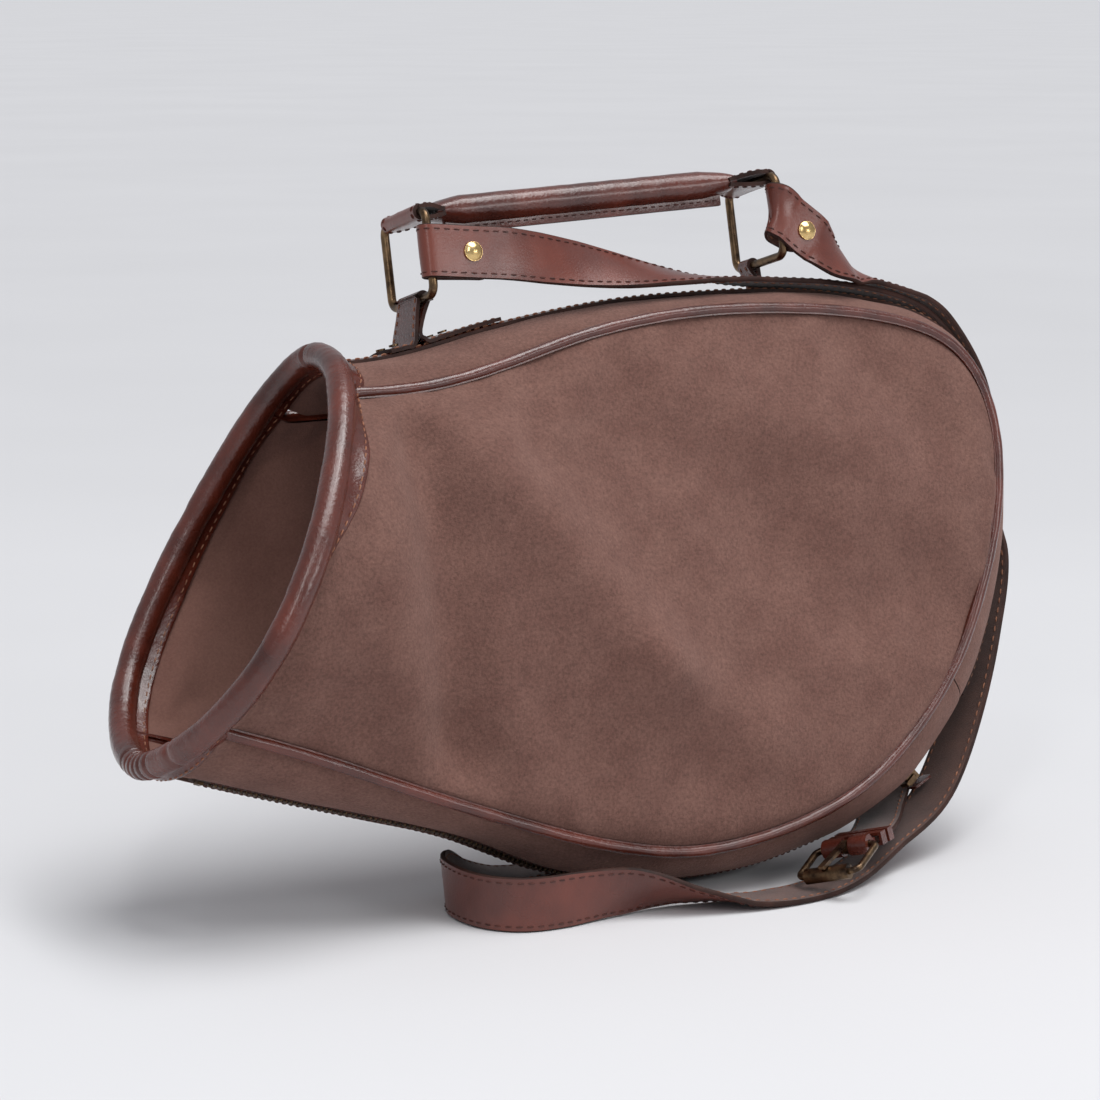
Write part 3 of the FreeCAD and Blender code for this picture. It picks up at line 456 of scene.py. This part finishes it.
def settle(obj, pinned):
    """Lets the suede buckle and sag between its sewn edges, and keeps the result.

    No point ends more than CLOTH_CAP metres from where it started."""
    group = obj.vertex_groups.new(name="sewn")
    for i, weight in enumerate(pinned):
        if weight > 0:
            group.add([i], float(weight), "REPLACE")
    mod = obj.modifiers.new("Cloth", "CLOTH")
    c = mod.settings
    c.quality = 7
    c.mass = 0.35
    c.tension_stiffness = c.compression_stiffness = 25
    c.shear_stiffness = 12
    c.bending_stiffness = 6
    c.vertex_group_mass = "sewn"
    c.shrink_min = -CLOTH_GROW
    c.use_pressure = True
    c.uniform_pressure_force = CLOTH_PRESSURE
    c.effector_weights.gravity = 0
    scene = bpy.context.scene
    for f in range(1, CLOTH_FRAMES + 1):
        scene.frame_set(f)
    evaluated = obj.evaluated_get(bpy.context.evaluated_depsgraph_get())
    moved = np.array([v.co for v in evaluated.data.vertices])
    rest = np.array([v.co for v in obj.data.vertices])
    obj.modifiers.remove(mod)
    obj.vertex_groups.remove(group)
    step = moved - rest
    size = np.linalg.norm(step, axis=1, keepdims=True)
    step *= np.tanh(size / CLOTH_CAP) * CLOTH_CAP / np.maximum(size, 1e-9)
    scene.frame_set(1)
    return rest + step


def panel(name, side, folds, dome_scale):
    nu, nv = 84, 50
    sheet = to_rim(panel_grid(side, nu - 5, nv, dome_scale))
    inside = edge_distance(nu, nv)
    sheet = sheet + Y * (side * fold_heights(sheet, folds) * inside)[..., None]
    skin = Piece("settle_" + name)
    skin.grid(sheet)
    obj = skin.make([SUEDE_M], sharp=0)
    pinned = (edge_distance(nu, nv) < 0.01).ravel()
    moved = settle(obj, pinned)
    bpy.data.objects.remove(obj)
    sheet = ((moved * 1000 - BAG_BASE) @ BAG_TURN).reshape(nu, nv, 3)
    sheet = sheet + Y * (side * 0.5 * noise_at(sheet, 34) * inside)[..., None]
    du = np.gradient(sheet, axis=0)
    dv = np.gradient(sheet, axis=1)
    normal = unit(np.cross(du, dv))
    normal *= np.sign((normal * Y * side).sum(-1, keepdims=True))
    piece = Piece(name)
    piece.shell(sheet, sheet - normal * 2.3, (0, 2, 1))
    obj = piece.make([SUEDE_M, EDGE_M, INNER_M], sharp=60, subdivide=1)
    finish_piece(obj, "bag", "suede", name.replace("suede_", "") + "_panel")
    return sheet


front_sheet = panel("suede_front", -1, FRONT_FOLDS, 1.0)
back_sheet = panel("suede_back", 1, BACK_FOLDS, 0.58)


# ------------------------------------------------------------------ gusset
def gusset(name, k0, k1, y0, y1, nodes, nk=150, ny=20, wave=0.5, seed=0.0):
    k = np.linspace(k0, k1, nk)[:, None]
    y = np.linspace(y0, y1, ny)[None]
    flat = gusset_point(k, y)
    inside = np.sin(np.linspace(0, math.pi, ny))[None] ** 0.5
    lift = wave * noise_at(flat, 22, seed) * inside
    outer = gusset_point(k, y, lift)
    inner = gusset_point(k, y, lift - 2.4)
    if k0 < 1:
        outer = to_rim(outer)
        inner = np.concatenate([outer[:5] - radial[0] * 2.0, inner])
    elif k1 > 27:
        outer = to_rim(outer[::-1])[::-1]
        inner = np.concatenate([inner, outer[-5:] + radial[0] * 2.0])
    piece = Piece(name)
    piece.shell(outer, inner, (0, 2, 1))
    return finish_piece(piece.make([SUEDE_M, EDGE_M, INNER_M], sharp=60, subdivide=1), "bag", "suede", *nodes)


GUSSET_SIDE = 35.6
ZIP_SIDE = 7.2
gusset("suede_gusset_top", 0.4, ZIP_TOP + 0.06, -GUSSET_SIDE, GUSSET_SIDE, ["gusset_top"], wave=0.9)
gusset("suede_gusset_zip_front", ZIP_TOP + 0.05, ZIP_BOTTOM, -GUSSET_SIDE, -ZIP_SIDE,
       ["gusset_zip_front"], 120, 9, 1.0, 3.0)
gusset("suede_gusset_zip_back", ZIP_TOP + 0.05, ZIP_BOTTOM, ZIP_SIDE, GUSSET_SIDE,
       ["gusset_zip_back"], 120, 9, 1.0, 7.0)


# ------------------------------------------------------------------ piping
def piping(side):
    k = np.linspace(0.1, 27.9, 420)
    line = seam(k) + Y * (side * (SEAM_Y + 0.7)) + outward(k) * 0.5
    ends = tuck(np.stack([line[0], line[0], line[-1], line[-1]]))[[0, 3]] + MOUTH_AXIS * 1.5
    w = np.linspace(0, 1, 9)[:-1, None]
    line = np.concatenate([ends[0] * (1 - w) + line[0] * w, line, (ends[1] * (1 - w) + line[-1] * w)[::-1]])
    k = np.concatenate([np.full(8, k[0]), k, np.full(8, k[-1])])
    angle = np.linspace(0, 2 * math.pi, 16, endpoint=False)[None]
    wave = 0.12 * noise_at(line, 9, 2.0 * side)[:, None]
    r = 2.55 + wave + 0.06 * np.sin(angle * 3 + k[:, None] * 9)
    label = "front" if side < 0 else "back"
    piece = Piece("piping_roll_" + label)
    piece.tube(line, r, sides=16, mat=0)
    flange_out = np.stack([line + Y * (-side * f) - outward(k) * 1.5 for f in (-1.5, 1.0, 3.6)], 1)
    piece.shell(flange_out, flange_out - outward(k)[:, None] * 1.2, (0, 0, 0))
    finish_piece(piece.make([LEATHER_M], sharp=50), "bag", "leather", "piping_" + label)


piping(-1)
piping(1)


# ------------------------------------------------------------------ zip
def zip_half(side, label):
    k = np.linspace(ZIP_TOP + 0.1, ZIP_BOTTOM, 260)
    tape = Piece("zip_tape_%s_cloth" % label)
    y = np.linspace(side * 7.6, side * 2.4, 5)[None]
    outer = gusset_point(k[:, None], y, -0.8)
    tape.shell(outer, gusset_point(k[:, None], y, -1.9), (0, 0, 0))
    edge = gusset_point(k, np.full_like(k, side * 8.4), 0.05)
    tape.stitches(edge, outward(k), pitch=3.4, length=2.2, radius=0.3, mat=1, seed=side * 3.0)
    finish_piece(tape.make([TAPE_M, DARK_THREAD_M], sharp=50), "bag", "tape", "zip_tape_" + label)
    rows = Piece("zip_teeth_%s_row" % label)
    fine = np.linspace(ZIP_TOP + 0.25, ZIP_BOTTOM - 0.15, 3000)
    line = gusset_point(fine, np.zeros_like(fine))
    s = np.concatenate([[0], np.cumsum(np.linalg.norm(np.diff(line, axis=0), axis=1))])
    for at in np.arange(1.2 + (0.0 if side < 0 else 1.2), s[-1] - 1, 2.4):
        kk = np.interp(at, s, fine)
        base = gusset_point(kk, 0.0, -0.8)
        out = outward(kk)
        along = unit(seam.slope(kk))
        shape = [(0.4, 0.35), (1.0, 0.62), (2.2, 0.62), (2.9, 0.45)]
        ring = []
        for yy, half in shape:
            c = base + Y * (side * yy)
            ring.append([c + along * half + out * 1.1, c - along * half + out * 1.1,
                         c - along * half - out * 1.1, c + along * half - out * 1.1])
        start = rows.add(np.array(ring))
        rows.quads(start, 4, 4, wrap_v=True)
        for row in (0, 3):
            rows.faces.append(tuple(start + row * 4 + c for c in range(4)))
            rows.mats.append(0)
    obj = rows.make([TEETH_M], sharp=0)
    bevel = obj.modifiers.new("Bevel", "BEVEL")
    bevel.width = 0.00025
    bevel.segments = 1
    finish_piece(obj, "bag", "bronze", "zip_teeth_" + label)


zip_half(-1, "front")
zip_half(1, "back")

# ------------------------------------------------------------------ mouth rim
def throat_curve():
    """The bag's outer edge just inside the rim, in the order of the rim's own curve."""
    front = front_sheet[5]
    back = back_sheet[5]
    y = np.linspace(33.4, -33.4, 30)
    top = gusset_point(np.full(30, 0.4), y)
    bottom = gusset_point(np.full(30, ZIP_BOTTOM), -y)
    return np.concatenate([top, front, bottom, back[::-1]])


def nearest(line, points):
    gap = line[None] - points[:, None]
    gap = gap - (gap @ MOUTH_AXIS)[..., None] * MOUTH_AXIS
    return line[np.linalg.norm(gap, axis=-1).argmin(1)]


def smooth_loop(values, rounds):
    for _ in range(rounds):
        values = (np.roll(values, 1, 0) + 2 * values + np.roll(values, -1, 0)) / 4
    return values


edge_line = smooth_loop(nearest(throat_curve(), rim), 40)
PLEATS = [(0.05, 0.05, 1.6), (10.2, 0.05, 1.0), (10.55, 0.05, 1.3), (10.9, 0.05, 1.1), (11.3, 0.05, 1.3),
          (11.7, 0.05, 1.0), (12.1, 0.05, 0.8), (17.6, 0.2, 0.5), (9.4, 0.06, 0.7)]


def rim_piece():
    sides = 22
    angle = np.linspace(0, 2 * math.pi, sides, endpoint=False)
    r = 6.2 + 0.35 * noise_at(rim, 16)
    for at, width, depth in PLEATS:
        gap = np.abs((rim_t - at + TURN / 2) % TURN - TURN / 2)
        r = r - depth * np.exp(-(gap / width) ** 2)
    dirs = (radial[:, None] * np.cos(angle)[None, :, None]
            - axis[:, None] * np.sin(angle)[None, :, None])
    wrinkle = 0.14 * noise_at(rim[:, None] + dirs * 6, 3.2, 4.0)
    roll = rim[:, None] + dirs * (r[:, None] + wrinkle)[..., None]
    piece = Piece("padded_rim")
    piece.grid(roll, wrap_u=True, wrap_v=True)
    # Two sewn laps, outside and inside the suede.
    start = rim + radial * 2.4 + axis * 2.5
    run = unit(edge_line - start)
    for lift, sign, wide in ((1.5, 1, 10.0), (-3.4, -1, 9.0)):
        at = np.array([0.0, 0.2, 0.4, 0.6, 0.8, 0.94, 1.0]) * wide
        raise_by = lift + sign * np.array([1.2, 0.5, 0.15, 0.1, 0.05, 0.0, -0.35])
        rows = start[:, None] + run[:, None] * at[:, None] + radial[:, None] * raise_by[:, None]
        rows = rows + radial[:, None] * (0.22 * noise_at(rows, 7))[..., None]
        thin = rows - radial[:, None] * (sign * 0.9)
        closed_a = np.concatenate([rows, rows[:1]])
        closed_b = np.concatenate([thin, thin[:1]])
        piece.shell(closed_a, closed_b, (0, 0, 1))
        line = start + run * (wide - 2.2) + radial * (lift + sign * 0.12)
        piece.stitches(np.concatenate([line, line[:1]]), np.concatenate([radial, radial[:1]]) * sign,
                       pitch=4.4, length=2.8, radius=0.33, mat=2, seed=9.0 + sign)
    return piece.make([LEATHER_M, EDGE_M, THREAD_M], sharp=70)


rim_obj = finish_piece(rim_piece(), "bag", "leather", "mouth_rim")


# ------------------------------------------------------------------ strip and tabs
def band_piece(name, k0, k1, half, top, thick, body, nodes, rows=160, stitch=True):
    k = np.linspace(k0, k1, rows)[:, None]
    across = np.linspace(-half, half, 9)[None]
    crown = top + 0.0 * across
    edge = -0.35 * (np.abs(across) / half) ** 8
    outer = gusset_point(k, across, crown + edge)
    inner = outer - outward(np.broadcast_to(k, outer.shape[:2])) * thick
    piece = Piece(name)
    piece.shell(outer, inner, (0, 0, 1))
    if stitch:
        for s in (-1, 1):
            line = gusset_point(k[:, 0], s * (half - 2.0), top)
            piece.stitches(line, outward(k[:, 0]), pitch=4.4, length=2.8, radius=0.33, mat=2, seed=s * 2.0)
    return finish_piece(piece.make([LEATHER_M, EDGE_M, THREAD_M], sharp=50), body, "leather", *nodes)


band_piece("gusset_leather_strip", 0.4, ZIP_TOP - 0.1, 12.0, 1.8, 1.5, "bag", ["gusset_strip"], rows=300)


def tab_piece(name, bar, k_mid, k0, k1, y_mid, half, node):
    """A leather tab: sewn down on both sides of an eye that holds the ring's lower bar."""
    eye = np.array([bar[0] + 3.6 * math.sin(a) for a in np.radians(np.linspace(150, -150, 15))])
    eye_z = np.array([bar[2] - 3.6 * math.cos(a) for a in np.radians(np.linspace(150, -150, 15))])
    foot = gusset_point(k_mid, 0.0, 4.4)
    right = [gusset_point(k, 0.0, 3.6) for k in np.linspace(k1, k_mid + 0.16, 9)]
    left = [gusset_point(k, 0.0, 3.6) for k in np.linspace(k_mid - 0.16, k0, 6)]
    points = right + [foot + X * 2.6 + Z * 1.5, foot + X * 1.9 + Z * 4.5]
    points += [np.array([x, 0, z]) for x, z in zip(eye, 2 * bar[2] - eye_z)][2:-2]
    points += [foot - X * 1.9 + Z * 4.5, foot - X * 2.6 + Z * 1.5] + left
    line = Cubic(points)(np.linspace(0, len(points) - 1, 120))
    tangent = unit(np.gradient(line, axis=0))
    normal = np.cross(tangent, Y)
    normal *= np.sign((normal[:1] * outward(k1)).sum())
    height = np.clip((line[:, 2] - foot[2]) / 12.0, 0, 1)
    wide = half * (1 - 0.16 * height)
    across = np.linspace(-1, 1, 9)
    y = y_mid + wide[:, None] * across
    drop = 17.0 * np.abs(y / SEAM_Y) ** 2.6 * (1 - height)[:, None]
    outer = line[:, None] + Y * y[..., None] - outward(k_mid) * drop[..., None]
    inner = outer - normal[:, None] * 1.7
    piece = Piece(name)
    piece.shell(outer, inner, (0, 0, 1))
    for s in (-1, 1):
        edge_y = y_mid + s * (wide - 2.0)
        sunk = 17.0 * np.abs(edge_y / SEAM_Y) ** 2.6 * (1 - height)
        edge = line + Y * edge_y[:, None] - outward(k_mid) * sunk[:, None]
        piece.stitches(edge[:52], normal[:52], pitch=4.0, length=2.6, radius=0.33, mat=2, seed=s + 4.0)
        piece.stitches(edge[78:], normal[78:], pitch=4.0, length=2.6, radius=0.33, mat=2, seed=s + 6.0)
    return finish_piece(piece.make([LEATHER_M, EDGE_M, THREAD_M], sharp=50), "bag", "leather", node)


LEFT = np.array([-29.0, 0, 274.0])
RIGHT = np.array([155.0, 0, 285.0])
RING_H = 38.0
tab_piece("ring_tab_left", LEFT, 1.85, 1.25, 3.3, 0.0, 12.5, "base_tab_left")
tab_piece("ring_tab_right", RIGHT, 7.25, 6.9, 7.65, 11.0, 5.0, "base_tab_right")

# ------------------------------------------------------------------ grip
LEFT_TOP = LEFT + Z * RING_H
RIGHT_TOP = RIGHT + Z * RING_H
GRIP_DIR = unit(RIGHT_TOP - LEFT_TOP)
GRIP_UP = np.array([-GRIP_DIR[2], 0, GRIP_DIR[0]])
SPAN = float(np.linalg.norm(RIGHT_TOP - LEFT_TOP))


def grip():
    s = np.linspace(13.0, SPAN - 13.0, 200)
    path = LEFT_TOP + GRIP_DIR * s[:, None] + GRIP_UP * 1.4
    end = np.minimum(s - 13.0, SPAN - 13.0 - s)
    open_up = np.clip(end / 16.0, 0, 1) ** 0.6
    sides = 26
    angle = np.linspace(0, 2 * math.pi, sides, endpoint=False)[None]
    half_y = (9.0 + (6.8 - 9.0) * open_up)[:, None]
    half_z = (3.6 + (6.8 - 3.6) * open_up)[:, None]
    ridge = 0.05 * np.sin(s[:, None] / 3.1 + angle * 2.2 + 2.0 * np.sin(s[:, None] / 17)) * open_up[:, None]
    dirs = np.cos(angle)[..., None] * Y + np.sin(angle)[..., None] * GRIP_UP
    ring = (path[:, None] + Y * (np.cos(angle) * (half_y + ridge))[..., None]
            + GRIP_UP * (np.sin(angle) * (half_z + ridge))[..., None])
    ring = ring + dirs * (0.08 * noise_at(ring, 5.0))[..., None]
    piece = Piece("grip_leather")
    base = piece.add(ring)
    piece.quads(base, len(s), sides, wrap_v=True)
    for row in (0, len(s) - 1):
        piece.faces.append(tuple(base + row * sides + i for i in range(sides)))
        piece.mats.append(0)
    # The sewn welt along the underside.
    inner = s[8:-8]
    line = LEFT_TOP + GRIP_DIR * inner[:, None] + GRIP_UP * (1.4 - 6.3)
    rows = np.stack([line + Y * y + GRIP_UP * z for y, z in
                     ((-1.7, 1.2), (-1.5, -2.6), (-1.1, -4.0), (1.1, -4.0), (1.5, -2.6), (1.7, 1.2))], 1)
    rows = rows + Y * (0.3 * noise_at(rows, 12.0))[..., None]
    base = piece.add(rows)
    piece.quads(base, len(inner), 6, wrap_v=True, mat=np.array([0, 0, 1, 0, 0, 0])[None])
    for row in (0, len(inner) - 1):
        piece.faces.append(tuple(base + row * 6 + i for i in range(6)))
        piece.mats.append(1)
    for side in (-1, 1):
        row = line + Y * (side * 1.55) - GRIP_UP * 1.6
        piece.stitches(row, np.broadcast_to(Y * side, row.shape), pitch=4.2, length=2.7, radius=0.38,
                       mat=2, seed=side)
    return piece.make([LEATHER_M, EDGE_M, DARK_THREAD_M], sharp=50)


grip_obj = finish_piece(grip(), "grip", "leather", "grip_cover", "grip_welt")


def grip_loop(name, bar, towards, node):
    """The leather loop from a ring's upper bar to the grip, gathered where it meets it."""
    reach = 17.0
    radius = 3.7
    turn = np.radians(np.linspace(75, 285, 17))
    points = [(reach, 2.6), (reach - 5, 3.4), (6, 4.0)]
    points += [(radius * math.cos(a), radius * math.sin(a)) for a in turn]
    points += [(6, -3.4), (reach - 5, -2.4), (reach, -1.4)]
    line = Cubic(np.array(points))(np.linspace(0, len(points) - 1, 90))
    half = 17.0 - 8.0 * np.clip((line[:, 0] - 3.0) / 12.0, 0, 1) ** 1.3
    centre = bar + towards * line[:, :1] + GRIP_UP * line[:, 1:]
    tangent = unit(np.gradient(centre, axis=0))
    normal = np.cross(tangent, Y)
    normal *= np.sign((normal[45] * -towards).sum())
    across = np.linspace(-1, 1, 13)
    outer = centre[:, None] + Y * (half[:, None] * across)[..., None]
    outer = outer + normal[:, None] * (0.25 * noise_at(outer, 7.0))[..., None]
    piece = Piece(name)
    piece.shell(outer, outer - normal[:, None] * 1.9, (0, 1, 2))
    for s in (-1, 1):
        edge = centre + Y * (s * (half - 2.0))[:, None] + normal * 0.1
        piece.stitches(edge, normal, pitch=4.0, length=2.6, radius=0.38, mat=3, seed=s + 8.0)
    obj = piece.make([STRAP_M, FLESH_M, EDGE_M, DARK_THREAD_M], sharp=50)
    return finish_piece(obj, "grip", "leather", node)


grip_loop("grip_loop_left_leather", LEFT_TOP, GRIP_DIR, "grip_loop_left")
grip_loop("grip_loop_right_leather", RIGHT_TOP, -GRIP_DIR, "grip_loop_right")

# ------------------------------------------------------------------ straps
STRAP_T = 2.6
STRAP_W = 24.0
HEAD_Y = -25.6


def lay(k, y, lift, roll):
    a = math.radians(roll)
    return gusset_point(k, y, lift), Y * math.cos(a) - outward(float(k)) * math.sin(a)


def head_stations(bar, lap, slope, reach):
    """The strap's end: from its lapped tip, round the ring's near side bar, to the front."""
    z = bar[2] + RING_H / 2
    y = -22.0
    plan = [(lap, HEAD_Y + 3.1), (0.62 * lap, HEAD_Y + 3.6), (0.3 * lap, -20.0), (1.2, -18.4),
            (-2.55, -19.45), (-3.6, y), (-2.55, -24.55), (1.2, HEAD_Y - 0.05)]
    plan += [(reach * f, HEAD_Y) for f in (0.3, 0.65, 1.0)]
    return [(np.array([bar[0] + px, py, z - slope * px]), Z) for px, py in plan]


def strap(name, stations, tip, nodes):
    centre = Cubic([np.asarray(c, float) for c, a in stations])
    turns = unit(np.array([a for c, a in stations], float))
    last = len(stations) - 1
    u = np.linspace(0, last, last * 7 + 1)
    i = np.minimum(u.astype(int), last - 1)
    path = centre(u)
    path = (np.concatenate([path[:1], path[:-1]]) + 2 * path + np.concatenate([path[1:], path[-1:]])) / 4
    forward = unit(np.gradient(path, axis=0))
    across = turns[i] + (turns[i + 1] - turns[i]) * (u - i)[:, None]
    side = unit(across - forward * (across * forward).sum(1, keepdims=True))
    face = np.cross(forward, side)
    s = np.concatenate([[0], np.cumsum(np.linalg.norm(np.diff(path, axis=0), axis=1))])
    half = np.full(len(s), STRAP_W / 2)
    for rounded in tip:
        gap = s if rounded == "start" else s[-1] - s
        half = np.minimum(half, STRAP_W / 2 - 5.0 * (1 - np.clip(gap / 9.0, 0, 1)) ** 2)
    f = np.array([-1.0, -0.965, -0.8, -0.4, 0.0, 0.4, 0.8, 0.965, 1.0])
    round_off = np.array([0.45, 0.9, 1.0, 1.0, 1.0, 1.0, 1.0, 0.9, 0.45])
    groove = np.array([0, 0, -0.12, 0.0, 0.05, 0.0, -0.12, 0, 0])
    thick = STRAP_T / 2
    top = path[:, None] + side[:, None] * (half[:, None] * f)[..., None] \
        + face[:, None] * ((thick * round_off + groove)[None])[..., None]
    low = path[:, None] + side[:, None] * (half[:, None] * f[::-1])[..., None] \
        - face[:, None] * (thick * round_off[::-1][None])[..., None]
    ring = np.concatenate([top, low], 1)
    kinds = np.array([2, 0, 0, 0, 0, 0, 0, 2, 2, 2, 1, 1, 1, 1, 1, 1, 2, 2])
    piece = Piece(name)
    base = piece.add(ring)
    n = ring.shape[1]
    piece.quads(base, len(u), n, wrap_v=True, mat=kinds[None])
    for row in (0, len(u) - 1):
        piece.faces.append(tuple(base + row * n + c for c in range(n)))
        piece.mats.append(2)
    for sgn in (-1, 1):
        for facing, thread in ((1, 3), (-1, 4)):
            line = path + side * (sgn * (half - 2.3))[:, None] + face * (facing * (thick - 0.02))
            piece.stitches(line, face * facing, pitch=4.9, length=3.2, radius=0.36, mat=thread,
                           seed=sgn + 3.0 * facing)
    obj = piece.make([STRAP_M, FLESH_M, EDGE_M, DARK_THREAD_M, THREAD_M], sharp=50)
    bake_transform(obj)
    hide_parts(*nodes)
    return obj


HEEL = on_floor(138.5, -29, 18.4)
BAR_ACROSS = unit(floor_dir(-0.62, 1, -0.3))
TAIL = floor_dir(20, 15.5, 0.6)
TAIL_DIR = unit(TAIL - BAR_ACROSS * TAIL.dot(BAR_ACROSS))
LAY_LOW = 3.5
LAY_HIGH = LAY_LOW + 3.2

short = head_stations(LEFT, 33.0, 0.08, 37.0)
short += [((25, -24.3, 287.7), (0, 0.12, 1)), ((46, -22, 284.6), (0, 0.35, 0.94)),
          ((68, -19, 281.6), (0, 0.62, 0.78)), ((90, -16.5, 279.2), (0, 0.85, 0.53)),
          ((113, -14, 276.9), (0, 1, 0.25)), ((134, -11.5, 275.4), (0, 1, 0.1))]
short += [lay(k, y, LAY_LOW + rise, roll) for k, y, rise, roll in
          ((7.3, -9.5, 0.9, -3), (8.0, -9, 0.9, -3), (9.0, -4, 0.7, 0), (10.0, 3, 0.9, 3),
           (11.0, 9, 1.2, 6), (12.0, 13, 1.5, 12), (13.0, 15, 1.9, 17), (14.0, 17, 2.0, 20),
           (15.0, 18, 1.9, 22), (16.0, 18.7, 2.0, 22), (17.0, 20, 2.1, 22))]
short += [(on_floor(210.5, 41.5, 36.0), floor_dir(-0.2, 1, 0)),
          (on_floor(199.5, 32.5, 26.6), floor_dir(-0.3, 1, 0)),
          (on_floor(183, 12.5, 19.9), floor_dir(-0.4, 1, -0.27)),
          (on_floor(168.5, -5, 18.8), floor_dir(-0.5, 1, -0.33))]
short += [(HEEL + TAIL_DIR * back, BAR_ACROSS) for back in (22, 15, 8.2)]
strap("buckle_half_strap", short, ["start"],
      ["buckle_strap", "buckle_strap_head"])

long = head_stations(RIGHT, 15.0, 0.85, 16.0)
long += [((180, -24.2, 283.5), (0.3, 0.4, 1)), ((190, -19.5, 280.0), (0.3, 1, 0.9)),
         ((203, -10, 275.3), (0.15, 1, 0.3))]
long += [lay(k, y, LAY_HIGH + rise, roll) for k, y, rise, roll in
         ((9.7, -2, 2.2, 0), (10.4, 3, 1.8, 3), (11.2, 8, 1.6, 6), (12.0, 12.5, 1.9, 12),
          (13.0, 15, 2.6, 17), (13.8, 17, 2.9, 19))]
ON_FLOOR = [((274, 57.5, 136), (-0.1, 1, 0)), ((270, 50.5, 119), (-0.1, 1, 0)),
            ((261.5, 43, 100), (-0.1, 1, 0)), ((249.5, 34, 76), (-0.15, 1, 0)),
            ((232, 23.5, 48.4), (-0.25, 1, 0)), ((206.5, 8.5, 24.0), (-0.35, 1, -0.1)),
            ((175, -5, 11.4), (-0.4, 1, -0.15)), ((146, -20.5, 4.0), (-0.3, 1, -0.05)),
            ((119, -33, 1.7), (-0.1, 1, 0)), ((98, -37.5, 1.8), (0.1, 1, 0)),
            ((78, -38, 3.1), (0.15, 1, -0.08)), ((50, -34, 8.0), (0.1, 1, -0.55)),
            ((22, -31, 12.2), (0, 0.35, -1)), ((-8, -33.5, 12.4), (0, 0, -1)),
            ((-30, -32, 12.4), (0, 0, -1)), ((-43, -18, 12.4), (0, 0, -1)),
            ((-46, 2, 12.4), (0, 0, -1)), ((-42, 20, 12.2), (0, -0.25, -1)),
            ((-31, 33.5, 11.2), (-0.3, -0.8, -1)), ((-15, 43, 6.8), (-0.15, -1, -0.4)),
            ((4, 50, 3.4), (-0.05, -1, -0.1)), ((24, 55, 2.2), (0, -1, 0)),
            ((44, 58.4, 1.9), (0, -1, 0)), ((55, 59.5, 1.6), (0, -1, 0)),
            ((62, 60, 1.5), (0, -1, 0)), ((84, 60, 1.4), (0, -1, 0)), ((106, 60, 1.4), (0, -1, 0))]
long += [(on_floor(*c), floor_dir(*a)) for c, a in ON_FLOOR]
strap("long_half_strap", long, ["start", "end"],
      ["long_strap", "long_strap_head"])

# ------------------------------------------------------------------ carried-over pieces
FINISH = {
    "ring_left": BRONZE_M, "ring_right": BRONZE_M, "stud_left": BRASS_M, "stud_right": BRASS_M,
    "buckle_frame": BRONZE_M, "buckle_roller": BRONZE_M, "buckle_prong": BRONZE_M,
    "buckle_chape": LEATHER_M, "keeper_fixed": LEATHER_M, "keeper_sliding": LEATHER_M,
    "zip_slider": BRONZE_M, "zip_link": BRONZE_M, "zip_pull": LEATHER_M, "zip_stops": BRONZE_M,
    "tab_rivets": BRONZE_M, "grip_core": CORE_M,
}
SOFT_EDGES = {"buckle_chape": 0.5, "keeper_fixed": 0.5, "keeper_sliding": 0.5, "zip_pull": 0.5,
              "zip_slider": 0.25, "tab_rivets": 0.3}
for name, finish in FINISH.items():
    obj = NODES[name]
    obj.data.materials.clear()
    obj.data.materials.append(finish)
    if name in SOFT_EDGES:
        soft = obj.modifiers.new("Soft", "BEVEL")
        soft.width = SOFT_EDGES[name] * 0.001
        soft.segments = 2
        soft.limit_method = "ANGLE"

# ------------------------------------------------------------------ floor, light, camera
bpy.ops.mesh.primitive_circle_add(vertices=96, radius=250.0, fill_type="NGON")
floor = bpy.context.active_object
floor.name = "floor"
floor.data.materials.append(FLOOR_M)

scene = bpy.context.scene
scene.view_settings.view_transform = "Standard"
world = bpy.data.worlds.new("studio")
scene.world = world
world.use_nodes = True
world.node_tree.nodes["Background"].inputs["Color"].default_value = (0.93, 0.95, 1.0, 1)
world.node_tree.nodes["Background"].inputs["Strength"].default_value = 0.45
TARGET = Vector((FLOOR_BASE[0] / 1000, FLOOR_BASE[1] / 1000, 0.162))


def area(name, place, wide, tall, power):
    light = bpy.data.lights.new(name, "AREA")
    light.shape = "RECTANGLE"
    light.size, light.size_y = wide, tall
    light.energy = power
    obj = bpy.data.objects.new(name, light)
    scene.collection.objects.link(obj)
    obj.location = place
    obj.rotation_euler = (TARGET - Vector(place)).to_track_quat("-Z", "Y").to_euler()


sun = bpy.data.lights.new("sun", "SUN")
sun.energy = 2.1
sun.angle = math.radians(46.0)
sun_obj = bpy.data.objects.new("sun", sun)
scene.collection.objects.link(sun_obj)
sun_obj.rotation_euler = Vector((-0.2, 0.22, -0.93)).to_track_quat("-Z", "Y").to_euler()
area("softbox", (-0.8, -1.1, 1.2), 0.16, 0.9, 4.0)
area("top_strip", (0.35, -0.25, 1.5), 1.0, 0.18, 3.2)
area("sheen", (0.72, -1.42, 0.72), 0.7, 0.35, 4.5)

camera = bpy.data.cameras.new("camera")
camera.lens = 119.0
camera.sensor_width = 36.0
eye = bpy.data.objects.new("camera", camera)
scene.collection.objects.link(eye)
az, el, far_off = math.radians(-28.0), math.radians(9.0), 1.6
towards_eye = Vector((math.cos(el) * math.sin(az), -math.cos(el) * math.cos(az), math.sin(el)))
eye.location = TARGET + far_off * towards_eye
eye.rotation_euler = (TARGET - eye.location).to_track_quat("-Z", "Y").to_euler()
scene.camera = eye
